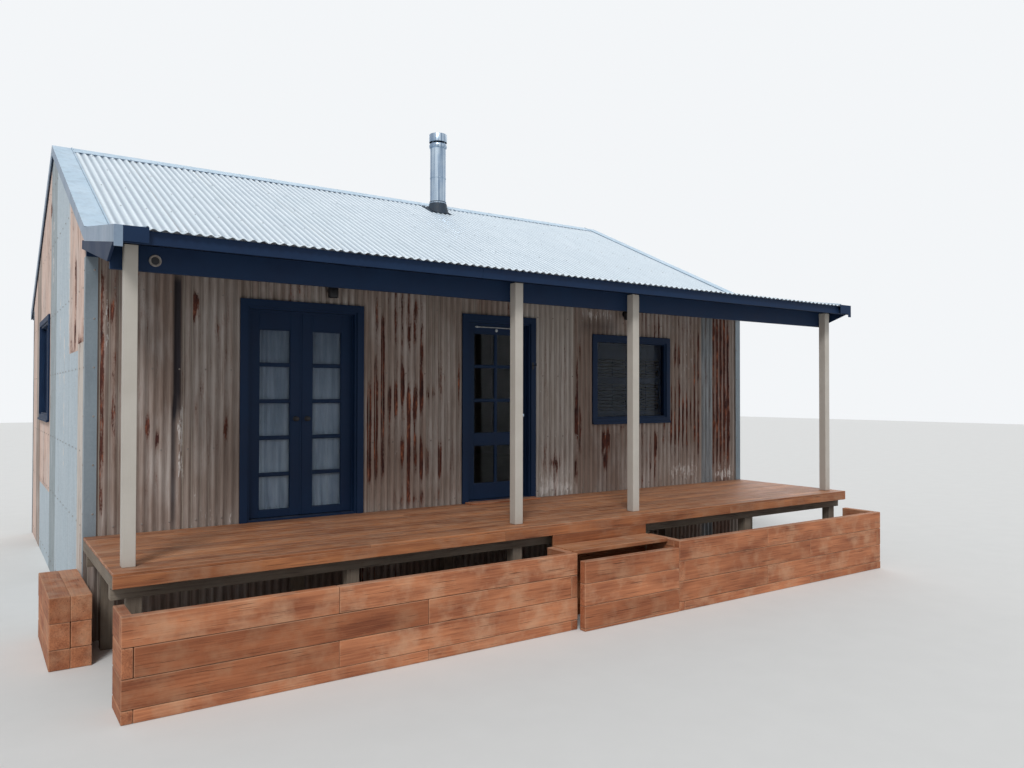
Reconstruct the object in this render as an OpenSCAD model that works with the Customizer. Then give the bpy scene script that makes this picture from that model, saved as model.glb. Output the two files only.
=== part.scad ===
// Corrugated iron cabin with a full-length front verandah.
// Millimetres, +Z up, the verandah faces -Y, the ground is at z = 0.

/* [Hut] */
// Length of the hut over its cladding, along X
hut_l = 8450; // [7800:10:9600]
// Depth of the hut over its cladding, along Y
hut_d = 6600; // [5600:10:7600]
// Height of the floor and deck above the lowest ground
floor_h = 900; // [700:5:1200]
// Height of the roof iron over the deck at the wall line
roof_h = 2675; // [2600:5:3100]
// Thickness of the framed walls with their lining
wall_t = 100; // [80:1:150]
// Thickness of the floor inside, boards and joists
floor_t = 150; // [100:5:250]

/* [Roof] */
// Pitch of the gable roof in degrees
roof_pitch = 25; // [20:0.5:30]
// Pitch of the verandah roof in degrees
verandah_pitch = 9.25; // [8:0.25:11]
// Thickness of the framed and lined roof panels
roof_t = 120; // [80:5:180]
// Reach of the roof past the rear wall
rear_eave = 350; // [150:10:500]
// Width of the barge capping on the roof
barge_w = 200; // [150:5:260]
// Drop of the barge capping over the gable
barge_drop = 120; // [80:5:160]
// Width of each wing of the ridge capping
ridge_w = 190; // [140:5:240]
// Thickness of folded flashings
flash_t = 2; // [1:0.5:4]

/* [Corrugated iron] */
// Distance from one corrugation to the next
corr_pitch = 76.2; // [60:0.1:100]
// Depth of the corrugations
corr_depth = 17; // [12:0.5:24]
// Thickness of the iron
iron_t = 1.5; // [1:0.1:3]

/* [Verandah] */
// Reach of the verandah roof in front of the wall
verandah_reach = 1750; // [1600:10:2000]
// Depth of the deck in front of the wall
deck_d = 1680; // [1560:10:1800]
// Width of the square posts
post_w = 90; // [70:1:120]
// Distance from the wall to the front of the posts
post_reach = 1510; // [1400:10:1540]
// Distance from the end of the hut to an end post
post_end = 80; // [40:5:200]
// Clear width between the two posts of the entry bay
entry_bay = 1410; // [1200:10:1800]
// Depth of the verandah rafters
rafter_d = 100; // [70:5:120]
// Thickness of verandah timbers
timber_t = 45; // [35:1:60]
// Drop of the beam's underside below the roof iron at the wall line
beam_drop = 565; // [500:5:600]
// Thickness of the deck boards
deck_t = 22; // [18:1:32]
// Depth of the board under the deck edge
deck_fascia_h = 85; // [60:5:140]

/* [Doors and windows] */
// Left edge of the French door trim from the left end
french_x = 1300; // [1000:5:1450]
// Width of the French door trim
french_w = 1255; // [1150:5:1500]
// Left edge of the entry door trim from the left end
entry_x = 3747; // [3500:5:3850]
// Width of the entry door trim
entry_w = 1013; // [950:1:1200]
// Height of the door trims over the deck
door_top = 2135; // [2080:5:2200]
// Left edge of the front window trim from the left end
window_x = 5647; // [5400:5:5900]
// Width of the front window trim
window_w = 1361; // [1100:1:1600]
// Height of the front window trim's underside over the deck
window_z = 855; // [700:5:1000]
// Height of the front window trim
window_h = 1132; // [900:1:1200]
// Near edge of the gable window trim from the front wall
side_window_y = 3600; // [3000:10:3700]
// Width of the gable window trim
side_window_w = 1500; // [1200:10:1700]
// Height of the gable window trim
side_window_h = 1330; // [1000:10:1400]
// Width of the trim boards round the openings
trim_w = 62; // [50:1:70]
// Thickness of the trim boards
trim_t = 20; // [15:1:30]
// Thickness of door jambs and window frames
jamb_t = 30; // [20:1:40]
// Thickness of the door leaves
leaf_t = 40; // [35:1:45]
// Width of the door stiles
stile_w = 108; // [90:1:125]
// Running gap round a door leaf
leaf_gap = 6; // [5:0.5:8]

/* [Steps and planters] */
// Left edge of the step bay from the left end
step_x = 3750; // [3500:10:3900]
// Width of the step bay
step_w = 1200; // [1000:10:1500]
// Drop from the deck to the tread
step_drop = 200; // [150:5:240]
// Depth of the tread
tread_d = 310; // [260:5:360]
// Thickness of the timber sleepers
sleeper_t = 75; // [60:1:100]
// Reach of the left planter in front of the wall
planter_reach = 2050; // [2030:5:2080]
// Reach of the front sleepers in front of the wall
front_reach = 2150; // [2150:10:2300]
// Reach of the side step past the left end
side_reach = 300; // [250:10:400]

/* [Flue] */
// Diameter of the flue pipe
flue_dia = 238; // [150:1:260]
// Distance of the flue from the left end
flue_x = 5040; // [4800:10:5200]
// Height of the flue top over the deck
flue_top = 5180; // [4900:10:5400]

/* [Hidden] */
$fn = 48;

// The outside of the cladding: left end, right end, front and rear
fascia_t = 20;
xl = (side_reach - hut_l - fascia_t - flash_t) / 2;
xr = xl + hut_l;
yf = (front_reach - hut_d - rear_eave) / 2;
yr = yf + hut_d;
ymid = yf + hut_d / 2;

// Iron with its corrugations takes this much of the wall and roof thickness
skin_t = corr_depth + iron_t;
core_f = yf + skin_t;
core_r = yr - skin_t;
core_l = xl + skin_t;
core_rt = xr - skin_t;
inner_f = core_f + wall_t;
inner_r = core_r - wall_t;
inner_l = core_l + wall_t;
inner_rt = core_rt - wall_t;

// Roof lines: height of the crests of the iron over a place y
roof_z = floor_h + roof_h;
lap_drop = 24;
lap = 60;
ridge_gap = 15;
function main_z(y) = roof_z + tan(roof_pitch) * (hut_d / 2 - abs(y - ymid));
function verandah_z(y) = roof_z - lap_drop + tan(verandah_pitch) * (y - yf);
// Pieces that seat on each other on a slope stand this far apart
seat = 0.3;
panel_top = skin_t / cos(roof_pitch) + seat;
panel_under = (skin_t + roof_t) / cos(roof_pitch);
rafter_top = skin_t / cos(verandah_pitch) + seat;
rafter_under = (skin_t + rafter_d) / cos(verandah_pitch);
function under_panel(y) = main_z(y) - panel_under;
function wall_top(y) = under_panel(y) - seat;
function under_rafter(y) = verandah_z(y) - rafter_under;

// Doors
french_open_w = french_w - 2 * trim_w;
entry_open_w = entry_w - 2 * trim_w;
door_open_top = floor_h + door_top - trim_w;
head_under = door_open_top - jamb_t;
leaf_out = inner_f - leaf_t;
sill_t = 18;
leaf_z = floor_h + sill_t + leaf_gap;
leaf_top = head_under - leaf_gap;
hinge_r = 6;
hinge_l = 90;
hinge_end = 180;
wing_w = 24;
wing_t = 2.5;
pin_out = hinge_r + 1;
pin_play = 0.3;
french_clear_x = xl + french_x + trim_w + jamb_t;
french_clear_w = french_open_w - 2 * jamb_t;
entry_clear_x = xl + entry_x + trim_w + jamb_t;
entry_clear_w = entry_open_w - 2 * jamb_t;
meeting_gap = 8;
french_leaf_w = (french_clear_w - 2 * leaf_gap - meeting_gap) / 2;
entry_leaf_w = entry_clear_w - 2 * leaf_gap;
glass_t = 6;
bar_w = 26;
french_top_rail = 180;
french_low_rail = 70;
entry_top_rail = 110;
entry_low_rail = 180;
lock_rail_h = 140;
lock_rail_up = 640;
lock_rail_z = floor_h + lock_rail_up;
knob_h = 980;
stop_w = 12;
stop_t = 12;
stop_gap = 5;
reveal = 8;

// Windows
side_window_z = 880;
mullion_d = 40;
pane_in = 15;
sill_out = 12;
sill_h = 30;
sill_drop = 5;

// Posts from the left end, and the verandah timbers
post_x = [post_end, (hut_l - entry_bay) / 2 - post_w, (hut_l + entry_bay) / 2,
    hut_l - post_end - post_w];
post_f = yf - post_reach;
beam_f = post_f + post_w;
beam_b = beam_f + timber_t;
beam_low = roof_z - beam_drop;
board_past_wall = 100;
iron_past_fascia = 40;
rafter_end = yf - verandah_reach + iron_past_fascia + fascia_t;
end_board_d = 190;
end_board_up = 50;
ledger_drop = 130;
lining_t = 6;
rafter_count = 11;

// Deck and ground works
deck_f = yf - deck_d;
joist_d = 90;
joist_count = 19;
bearer_d = 90;
bearer_in = 150;
bearer_from_wall = 250;
stump_w = 100;
deck_low = floor_h - deck_t - joist_d;
bearer_low = deck_low - bearer_d;
tread_t = 40;
riser_t = 20;
planter_drop = 210;
front_drop = 275;
side_step_f = 660;
side_step_r = 420;
side_step_drop = 340;

iron = "#b9bcbc";
old_iron = "#a39389";
navy = "#16202c";
timber = "#8a4a2c";
paint = "#c9c3b4";

// Cuts run past the faces that they cut by this much
past = 10;
glass_tint = "#7f8c94";
black = "#1b1b1b";

// A profile in Y and Z, drawn along X from a to b
module along_x(a, b, outline)
    translate([a, 0, 0]) rotate([90, 0, 90]) linear_extrude(b - a) polygon(outline);

// A box given by its two corners
module block(a, b) translate(a) cube(b - a);

// Corners of the corrugations as shares of the pitch, with their share of the depth: the crests
// and valleys are flat for a sixth of the pitch, and half of the first crest starts the sheet
corr_corners = [[1 / 12, 0], [5 / 12, 1], [7 / 12, 1], [11 / 12, 0]];

// The outline of a sheet of a given length, with its crests at height 0
module sheet_outline(length) {
    n = ceil(length / corr_pitch);
    top = concat([[0, 0]], [for (i = [0 : n - 1], c = corr_corners)
        [(i + c[0]) * corr_pitch, -c[1] * corr_depth]], [[n * corr_pitch, 0]]);
    last = len(top) - 1;
    intersection() {
        polygon(concat(top, [for (k = [last : -1 : 0]) top[k] - [0, iron_t]]));
        translate([0, -2 * skin_t]) square([length, 3 * skin_t]);
    }
}

// A standing sheet against the front, crests towards -Y at y = 0, from z0 to z1
module standing_sheet(len, z0, z1)
    translate([0, 0, z0]) linear_extrude(z1 - z0) mirror([0, 1]) sheet_outline(len);

// A lying sheet that rises towards +Y at an angle, its lower crest edge on the X axis
module sloping_sheet(len, run, pitch)
    rotate([pitch - 90, 0, 0]) linear_extrude(run) mirror([0, 1]) sheet_outline(len);

// The framed front wall between two places along X, under the roof
module front_core(x0, x1, z0)
    along_x(x0, x1, [[core_f, z0], [inner_f, z0], [inner_f, wall_top(inner_f)],
        [core_f, wall_top(core_f)]]);

french_x0 = xl + french_x + trim_w;
french_x1 = french_x0 + french_open_w;
entry_x0 = xl + entry_x + trim_w;
entry_x1 = entry_x0 + entry_open_w;
window_x0 = xl + window_x + trim_w;
window_x1 = window_x0 + window_w - 2 * trim_w;
window_z0 = floor_h + window_z + trim_w;
window_z1 = window_z0 + window_h - 2 * trim_w;
side_y0 = yf + side_window_y + trim_w;
side_y1 = side_y0 + side_window_w - 2 * trim_w;
side_z0 = floor_h + side_window_z + trim_w;
side_z1 = side_z0 + side_window_h - 2 * trim_w;

module front_base_wall() color(old_iron)
    block([inner_l, core_f, 0], [inner_rt, inner_f, floor_h]);

module front_wall_left() color(old_iron) front_core(inner_l, french_x0, floor_h);
module front_wall_middle() color(old_iron) front_core(french_x1, entry_x0, floor_h);
module front_wall_right() color(old_iron) difference() {
    front_core(entry_x1, inner_rt, floor_h);
    block([window_x0, core_f - past, window_z0], [window_x1, inner_f + past, window_z1]);
}
module french_lintel() color(old_iron) front_core(french_x0, french_x1, door_open_top);
module entry_lintel() color(old_iron) front_core(entry_x0, entry_x1, door_open_top);

module rear_wall() color(old_iron)
    along_x(inner_l, inner_rt, [[core_r, 0], [inner_r, 0], [inner_r, wall_top(inner_r)],
        [core_r, wall_top(core_r)]]);

// A gable wall from one face to the other, under the roof panels
module gable_core(x0, x1)
    along_x(x0, x1, [[core_f, 0], [core_r, 0], [core_r, wall_top(core_r)],
        [ymid, wall_top(ymid)], [core_f, wall_top(core_f)]]);

module left_gable_wall() color(old_iron) difference() {
    gable_core(core_l, inner_l);
    block([core_l - past, side_y0, side_z0], [inner_l + past, side_y1, side_z1]);
}
module right_gable_wall() color(old_iron) gable_core(inner_rt, core_rt);

// The outline under the roof iron on a gable, from which its cladding is cut
module under_iron(x0, x1)
    along_x(x0, x1, [[core_f, 0], [core_r, 0], [core_r, main_z(core_r) - panel_top],
        [ymid, main_z(ymid) - panel_top], [core_f, main_z(core_f) - panel_top]]);

clad_top = wall_top(yf);

module front_cladding() color(old_iron) difference() {
    translate([xl, yf, 0]) standing_sheet(hut_l, 0, clad_top);
    block([french_x0, yf - past, floor_h], [french_x1, core_f + past, door_open_top]);
    block([entry_x0, yf - past, floor_h], [entry_x1, core_f + past, door_open_top]);
    block([window_x0, yf - past, window_z0], [window_x1, core_f + past, window_z1]);
}
module rear_cladding() color(old_iron)
    translate([xr, yr, 0]) rotate([0, 0, 180]) standing_sheet(hut_l, 0, clad_top);

module left_gable_cladding() color(old_iron) difference() {
    intersection() {
        translate([xl, core_r, 0]) rotate([0, 0, -90])
            standing_sheet(core_r - core_f, 0, main_z(ymid));
        under_iron(xl - past, core_l + past);
    }
    block([xl - past, side_y0, side_z0], [core_l + past, side_y1, side_z1]);
}
module right_gable_cladding() color(old_iron) intersection() {
    translate([xr, core_f, 0]) rotate([0, 0, 90])
        standing_sheet(core_r - core_f, 0, main_z(ymid));
    under_iron(core_rt - past, xr + past);
}

// An L of folded iron over each outer corner of the cladding, its front leg from a given height
corner_w = 95;
module corner_flashing(front_low, top) {
    block([-flash_t, 0, 0], [0, corner_w, top]);
    block([-flash_t, -flash_t, front_low], [corner_w, 0, top]);
}
module corner_flashings() color(iron) {
    front_top = under_rafter(yf) - ledger_drop;
    rear_top = main_z(yr) - barge_drop - lap;
    translate([xl, yf, 0]) corner_flashing(floor_h, front_top);
    translate([xr, yf, 0]) mirror([1, 0, 0]) corner_flashing(floor_h, front_top);
    translate([xl, yr, 0]) mirror([0, 1, 0]) corner_flashing(0, rear_top);
    translate([xr, yr, 0]) rotate([0, 0, 180]) corner_flashing(0, rear_top);
}

module inner_floor() color(timber)
    block([inner_l, inner_f, floor_h - floor_t], [inner_rt, inner_r, floor_h]);

stump_cols = 5;
stump_rows = 3;
bearer_lines = [deck_f + bearer_in, yf - bearer_from_wall];
module stump(x, y, top)
    translate([x - stump_w / 2, y - stump_w / 2, 0]) cube([stump_w, stump_w, top]);
module stumps() color("#6f675d") {
    for (i = [0 : stump_cols - 1], j = [0 : stump_rows - 1])
        stump(inner_l + (i + 0.5) * (inner_rt - inner_l) / stump_cols,
            inner_f + (j + 0.5) * (inner_r - inner_f) / stump_rows, floor_h - floor_t);
    for (i = [0 : stump_cols], y = bearer_lines)
        stump(xl + bearer_in + i * (hut_l - 2 * bearer_in) / stump_cols, y, bearer_low);
}

module roof_panel_front() color(paint)
    along_x(core_l, core_rt, [[yf, main_z(yf) - panel_top], [yf, under_panel(yf)],
        [ymid, under_panel(ymid)], [ymid, main_z(ymid) - panel_top]]);
rafter_tail = yr + rear_eave - iron_past_fascia - fascia_t;
module roof_panel_rear() color(paint)
    along_x(core_l, core_rt, [[rafter_tail, main_z(rafter_tail) - panel_top],
        [rafter_tail, under_panel(rafter_tail)], [ymid, under_panel(ymid)],
        [ymid, main_z(ymid) - panel_top]]);

front_run = (hut_d / 2 + lap - ridge_gap) / cos(roof_pitch);
rear_run = (hut_d / 2 + rear_eave - ridge_gap) / cos(roof_pitch);
module roof_iron_front() color(iron)
    translate([xl, yf - lap, main_z(yf - lap)]) sloping_sheet(hut_l, front_run, roof_pitch);
module roof_iron_rear() color(iron)
    translate([xl, yr + rear_eave, main_z(yr + rear_eave)]) mirror([0, 1, 0])
        sloping_sheet(hut_l, rear_run, roof_pitch);

// A folded strip that follows a line, standing on it with a given thickness
module strip(x0, x1, line, t)
    along_x(x0, x1, concat(line, [for (k = [len(line) - 1 : -1 : 0]) line[k] + [0, t]]));
function shifted(line, up) = [for (p = line) p + [0, up]];

flash_rise = flash_t / cos(roof_pitch);
module ridge_capping() color(iron)
    strip(xl + barge_w, xr - barge_w,
        [for (y = [ymid - ridge_w, ymid, ymid + ridge_w]) [y, main_z(y) + seat]], flash_rise);

// The edge of the roof at a gable, from the verandah eave over the ridge to the rear eave
eave_f = yf - verandah_reach;
eave_r = yr + rear_eave;
main_edge = [for (y = [yf - lap, ymid, eave_r]) [y, main_z(y)]];
verandah_edge = [for (y = [eave_f, yf - lap]) [y, verandah_z(y)]];
// Boards stand outside the cladding, and the capping covers them and laps onto the iron
board_x = xl - fascia_t;
module at_both_gables() {
    children();
    translate([xl + xr, 0, 0]) mirror([1, 0, 0]) children();
}
module barge_cappings() color(iron) at_both_gables() {
    strip(board_x, xl + barge_w, shifted(main_edge, seat), flash_rise);
    strip(board_x, xl + barge_w, shifted(verandah_edge, seat), flash_rise);
    strip(board_x - flash_t, board_x, shifted(concat(verandah_edge, main_edge), -barge_drop),
        barge_drop + seat + flash_rise);
}
barge_board_d = barge_drop - 10;
module barge_boards() color(navy) at_both_gables()
    strip(board_x, xl, shifted(main_edge, -barge_board_d), barge_board_d);

module rear_fascia() color(navy)
    along_x(xl, xr, [[rafter_tail, under_panel(rafter_tail)],
        [rafter_tail + fascia_t, under_panel(rafter_tail)],
        [rafter_tail + fascia_t, main_z(rafter_tail + fascia_t) - panel_top],
        [rafter_tail, main_z(rafter_tail) - panel_top]]);

verandah_top = yf - 4;
module verandah_iron() color(iron)
    translate([xl, eave_f, verandah_z(eave_f)])
        sloping_sheet(hut_l, (verandah_top - eave_f) / cos(verandah_pitch), verandah_pitch);

rafter_inset = 150;
module verandah_rafters() color(navy)
    for (i = [0 : rafter_count - 1])
        let (x = xl + rafter_inset + i * (hut_l - 2 * rafter_inset - timber_t) / (rafter_count - 1))
            along_x(x, x + timber_t, [[rafter_end, verandah_z(rafter_end) - rafter_top],
                [rafter_end, under_rafter(rafter_end)], [yf, under_rafter(yf)],
                [yf, verandah_z(yf) - rafter_top]]);

// The ledger on the wall, and the lining between it and the beam
ledger_f = yf - timber_t;
module verandah_ledger() color(navy)
    along_x(xl, xr, [[yf, under_rafter(yf) - seat], [yf, under_rafter(yf) - ledger_drop],
        [ledger_f, under_rafter(yf) - ledger_drop], [ledger_f, under_rafter(ledger_f) - seat]]);
module verandah_lining() color(navy)
    along_x(xl, xr, [for (p = [[ledger_f, 0], [ledger_f, lining_t], [beam_b, lining_t], [beam_b, 0]])
        [p[0], under_rafter(p[0]) - seat - p[1]]]);
module verandah_fascia() color(navy)
    along_x(xl, xr, [[rafter_end, under_rafter(rafter_end)],
        [rafter_end - fascia_t, under_rafter(rafter_end)],
        [rafter_end - fascia_t, verandah_z(rafter_end - fascia_t) - rafter_top],
        [rafter_end, verandah_z(rafter_end) - rafter_top]]);
module verandah_beam() color(navy)
    along_x(xl, xr, [[beam_f, beam_low], [beam_b, beam_low],
        [beam_b, under_rafter(beam_b) - seat],
        [beam_f, under_rafter(beam_f) - seat]]);
// Each end board runs from the fascia past the wall's corner, where it passes below the barge board
module verandah_end_boards() color(navy) at_both_gables() {
    y_end = yf + board_past_wall;
    y_lap = yf - lap;
    under_barge = main_z(y_lap) - barge_drop;
    along_x(board_x, xl, [[rafter_end, verandah_z(rafter_end) - rafter_top],
        [rafter_end, under_rafter(rafter_end)], [beam_f, beam_low + end_board_up],
        [y_end, verandah_z(y_end) - end_board_d],
        [y_end, under_barge + tan(verandah_pitch) * (y_end - y_lap)], [y_lap, under_barge],
        [y_lap, verandah_z(y_lap) - rafter_top]]);
}
module verandah_posts() color(paint)
    for (x = post_x)
        along_x(xl + x, xl + x + post_w, [[post_f, floor_h], [beam_f, floor_h],
            [beam_f, under_rafter(beam_f) - seat], [post_f, under_rafter(post_f) - seat]]);

module deck() color(timber) block([xl, deck_f, floor_h - deck_t], [xr, yf, floor_h]);
module deck_joists() color(timber)
    for (i = [0 : joist_count - 1])
        let (x = xl + i * (hut_l - timber_t) / (joist_count - 1))
            block([x, deck_f + fascia_t, deck_low], [x + timber_t, yf, floor_h - deck_t]);
module deck_bearers() color(timber)
    for (y = bearer_lines)
        block([xl, y - timber_t, bearer_low], [xr, y + timber_t, deck_low]);
module deck_fascia() color(timber)
    block([xl, deck_f, floor_h - deck_t - deck_fascia_h], [xr, deck_f + fascia_t, floor_h - deck_t]);

step_l = xl + step_x;
step_r = step_l + step_w;
tread_f = deck_f - tread_d;
tread_z = floor_h - step_drop;
// The tread between the sides of the beds, against the riser that closes the deck's edge
module step() color(timber) {
    block([step_l, tread_f, tread_z - tread_t], [step_r, deck_f, tread_z]);
    block([step_l, deck_f, 0], [step_r, deck_f + riser_t, floor_h - deck_t - deck_fascia_h]);
}
// The sleepers in front of the tread, with an open slot behind them
module front_sleepers() color(timber)
    block([step_l, yf - front_reach, 0],
        [step_r, yf - front_reach + sleeper_t, floor_h - front_drop]);
module side_step() color(timber)
    block([xl - side_reach, yf - side_step_f, 0], [xl - flash_t, yf + side_step_r, floor_h - side_step_drop]);

// A bed of stacked sleepers, open on top, closed behind by the deck
module planter(x0, x1, reach) {
    f = yf - reach;
    top = floor_h - planter_drop;
    block([x0, f, 0], [x1, f + sleeper_t, top]);
    for (x = [x0, x1 - sleeper_t])
        block([x, f + sleeper_t, 0], [x + sleeper_t, deck_f, top]);
}
module planter_left() color(timber) planter(xl, step_l, planter_reach);
module planter_right() color(timber) planter(step_r, xr, front_reach);

// Jambs, head, sill, stops and trim of a doorway, and the hinge pins on it
module door_frame(x0, w, hinge_sides) {
    x1 = x0 + w;
    difference() {
        block([x0, yf, floor_h], [x1, inner_f, door_open_top]);
        block([x0 + jamb_t, yf - past, floor_h - past], [x1 - jamb_t, inner_f + past, head_under]);
    }
    block([x0 + jamb_t, yf, floor_h], [x1 - jamb_t, inner_f, floor_h + sill_t]);
    difference() {
        block([x0 + jamb_t, leaf_out - stop_gap - stop_t, floor_h + sill_t],
            [x1 - jamb_t, leaf_out - stop_gap, head_under]);
        block([x0 + jamb_t + stop_w, leaf_out - leaf_t, floor_h],
            [x1 - jamb_t - stop_w, leaf_out, head_under - stop_w]);
    }
    difference() {
        block([x0 - trim_w, yf - trim_t, floor_h], [x1 + trim_w, yf, door_open_top + trim_w]);
        block([x0 + reveal, yf - trim_t - past, floor_h - past],
            [x1 - reveal, yf + past, door_open_top - reveal]);
    }
    for (side = hinge_sides)
        translate([side < 0 ? x0 + jamb_t : x1 - jamb_t, 0, 0]) mirror([side < 0 ? 0 : 1, 0, 0])
            for (z = hinge_places()) hinge_fixed(z);
}
function hinge_places() =
    [leaf_z + hinge_end, (leaf_z + leaf_top - hinge_l) / 2, leaf_top - hinge_end - hinge_l];
// The pin stands in the middle of the gap, just inside the room
module hinge_fixed(z) translate([leaf_gap / 2, inner_f + pin_out, z]) {
    cylinder(r = hinge_r, h = hinge_l);
    translate([-leaf_gap / 2 - wing_w, -pin_out, 0]) cube([wing_w + leaf_gap / 2, wing_t, hinge_l]);
    translate([-hinge_r, -pin_out, 0]) cube([hinge_r, pin_out, hinge_l]);
}
// The wing on the leaf that turns round the pin
module hinge_moving(z) difference() {
    translate([leaf_gap, inner_f, z]) cube([wing_w, pin_out, hinge_l]);
    translate([leaf_gap / 2, inner_f + pin_out, z - past])
        cylinder(r = hinge_r + pin_play, h = hinge_l + 2 * past);
}

// A leaf hinged at its left, its jamb face at x = 0, with a list of panes
// Each pane is [left, right, low, top] within the leaf
module door_leaf(w, panes) {
    difference() {
        block([leaf_gap, leaf_out, leaf_z], [leaf_gap + w, inner_f, leaf_top]);
        for (p = panes)
            block([leaf_gap + p[0], leaf_out - past, p[2]], [leaf_gap + p[1], inner_f + past, p[3]]);
    }
    for (z = hinge_places()) hinge_moving(z);
}
module leaf_glass(panes)
    for (p = panes)
        block([leaf_gap + p[0], leaf_out + (leaf_t - glass_t) / 2, p[2]],
            [leaf_gap + p[1], leaf_out + (leaf_t + glass_t) / 2, p[3]]);

// Panes in a field: columns and rows with bars between them
function panes(x0, x1, z0, z1, cols, rows) =
    let (w = (x1 - x0 - (cols - 1) * bar_w) / cols, h = (z1 - z0 - (rows - 1) * bar_w) / rows)
    [for (i = [0 : cols - 1], j = [0 : rows - 1]) let (x = x0 + i * (w + bar_w), z = z0 + j * (h + bar_w))
        [x, x + w, z, z + h]];

french_panes = panes(stile_w, french_leaf_w - stile_w, leaf_z + french_low_rail,
    leaf_top - french_top_rail, 1, 5);
entry_panes = concat(
    panes(stile_w, entry_leaf_w - stile_w, lock_rail_z + lock_rail_h, leaf_top - entry_top_rail, 2, 3),
    panes(stile_w, entry_leaf_w - stile_w, leaf_z + entry_low_rail, lock_rail_z, 2, 1));

// A round knob on a rose, turned in one piece
rose_d = 52;
rose_t = 6;
neck_d = 18;
knob_d = 46;
knob_t = 20;
knob_out = 52;
module knob(x) translate([x, leaf_out, floor_h + knob_h]) rotate([90, 0, 0]) {
    cylinder(d = rose_d, h = rose_t);
    cylinder(d = neck_d, h = knob_out);
    translate([0, 0, knob_out - knob_t]) cylinder(d = knob_d, h = knob_t);
}
module to_right_jamb()
    translate([2 * french_clear_x + french_clear_w, 0, 0]) mirror([1, 0, 0]) children();
knob_x = leaf_gap + french_leaf_w - stile_w / 2;

module french_frame() color(navy) door_frame(french_x0, french_open_w, [-1, 1]);
module french_leaf_left() color(navy)
    translate([french_clear_x, 0, 0]) door_leaf(french_leaf_w, french_panes);
module french_glass_left() color(glass_tint)
    translate([french_clear_x, 0, 0]) leaf_glass(french_panes);
module french_knob_left() color(black) knob(french_clear_x + knob_x);
module french_leaf_right() color(navy)
    to_right_jamb() translate([french_clear_x, 0, 0]) door_leaf(french_leaf_w, french_panes);
module french_glass_right() color(glass_tint)
    to_right_jamb() translate([french_clear_x, 0, 0]) leaf_glass(french_panes);
module french_knob_right() color(black) to_right_jamb() knob(french_clear_x + knob_x);

module entry_frame() color(navy) door_frame(entry_x0, entry_open_w, [-1]);
module entry_leaf() color(navy)
    translate([entry_clear_x, 0, 0]) door_leaf(entry_leaf_w, entry_panes);
module entry_glass() color(glass_tint) translate([entry_clear_x, 0, 0]) leaf_glass(entry_panes);
module entry_handle() color("#8d8f90") knob(entry_clear_x + leaf_gap + entry_leaf_w - stile_w / 2);

// A window's frame, mullion, sill and trim, facing -Y, from the lower left corner of its hole
module window_unit(w, h, cols) {
    difference() {
        block([0, 0, 0], [w, skin_t + wall_t, h]);
        block([jamb_t, -past, jamb_t], [w - jamb_t, skin_t + wall_t + past, h - jamb_t]);
    }
    for (i = [1 : 1 : cols - 1])
        translate([i * w / cols - bar_w / 2, skin_t, 0]) cube([bar_w, mullion_d, h]);
    difference() {
        block([-trim_w, -trim_t, -trim_w], [w + trim_w, 0, h + trim_w]);
        block([reveal, -trim_t - past, reveal], [w - reveal, past, h - reveal]);
    }
    block([-trim_w, -trim_t - sill_out, -trim_w - sill_drop],
        [w + trim_w, -trim_t, -trim_w - sill_drop + sill_h]);
}
// The glass of a window, between its frame and the mullion in the middle
module pane(w, h)
    for (x = [jamb_t, (w + bar_w) / 2])
        translate([x, skin_t + pane_in, jamb_t]) cube([(w - bar_w) / 2 - jamb_t, glass_t, h - 2 * jamb_t]);

module at_front_window() translate([window_x0, yf, window_z0]) children();
module at_gable_window() translate([xl, side_y1, side_z0]) rotate([0, 0, -90]) children();
module front_window() color(navy)
    at_front_window() window_unit(window_x1 - window_x0, window_z1 - window_z0, 2);
module gable_window() color(navy)
    at_gable_window() window_unit(side_y1 - side_y0, side_z1 - side_z0, 2);
module window_panes() color(glass_tint) {
    at_front_window() pane(window_x1 - window_x0, window_z1 - window_z0);
    at_gable_window() pane(side_y1 - side_y0, side_z1 - side_z0);
}

// The flue stands on the front slope, just short of the ridge
flue_to_ridge = 400;
flue_y = ymid - flue_to_ridge;
flue_wall = 3;
flue_seat = 5;
flue_base = main_z(flue_y + flue_dia / 2) + flue_seat;
cowl_h = 127;
cowl_gap = 16;
ring_h = 84;
ring_t = 17;
cowl_dia = flue_dia + 2 * ring_t;
spider_t = 6;
spider_h = 30;
core_dia = 40;
boot_flare = 75;
boot_lip = 10;
boot_dia = flue_dia + 2 * boot_flare;
boot_top_dia = flue_dia + 2 * boot_lip;
boot_up = 60;
pipe_top = floor_h + flue_top - cowl_h - cowl_gap - ring_h / 2;
boot_low = main_z(flue_y - boot_dia / 2);
module at_flue(z) translate([xl + flue_x, flue_y, z]) children();
module flue_pipe() color(iron) at_flue(0) difference() {
    translate([0, 0, flue_base]) cylinder(d = flue_dia, h = pipe_top - flue_base);
    translate([0, 0, flue_base - past])
        cylinder(d = flue_dia - 2 * flue_wall, h = pipe_top - flue_base + 2 * past);
}
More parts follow.
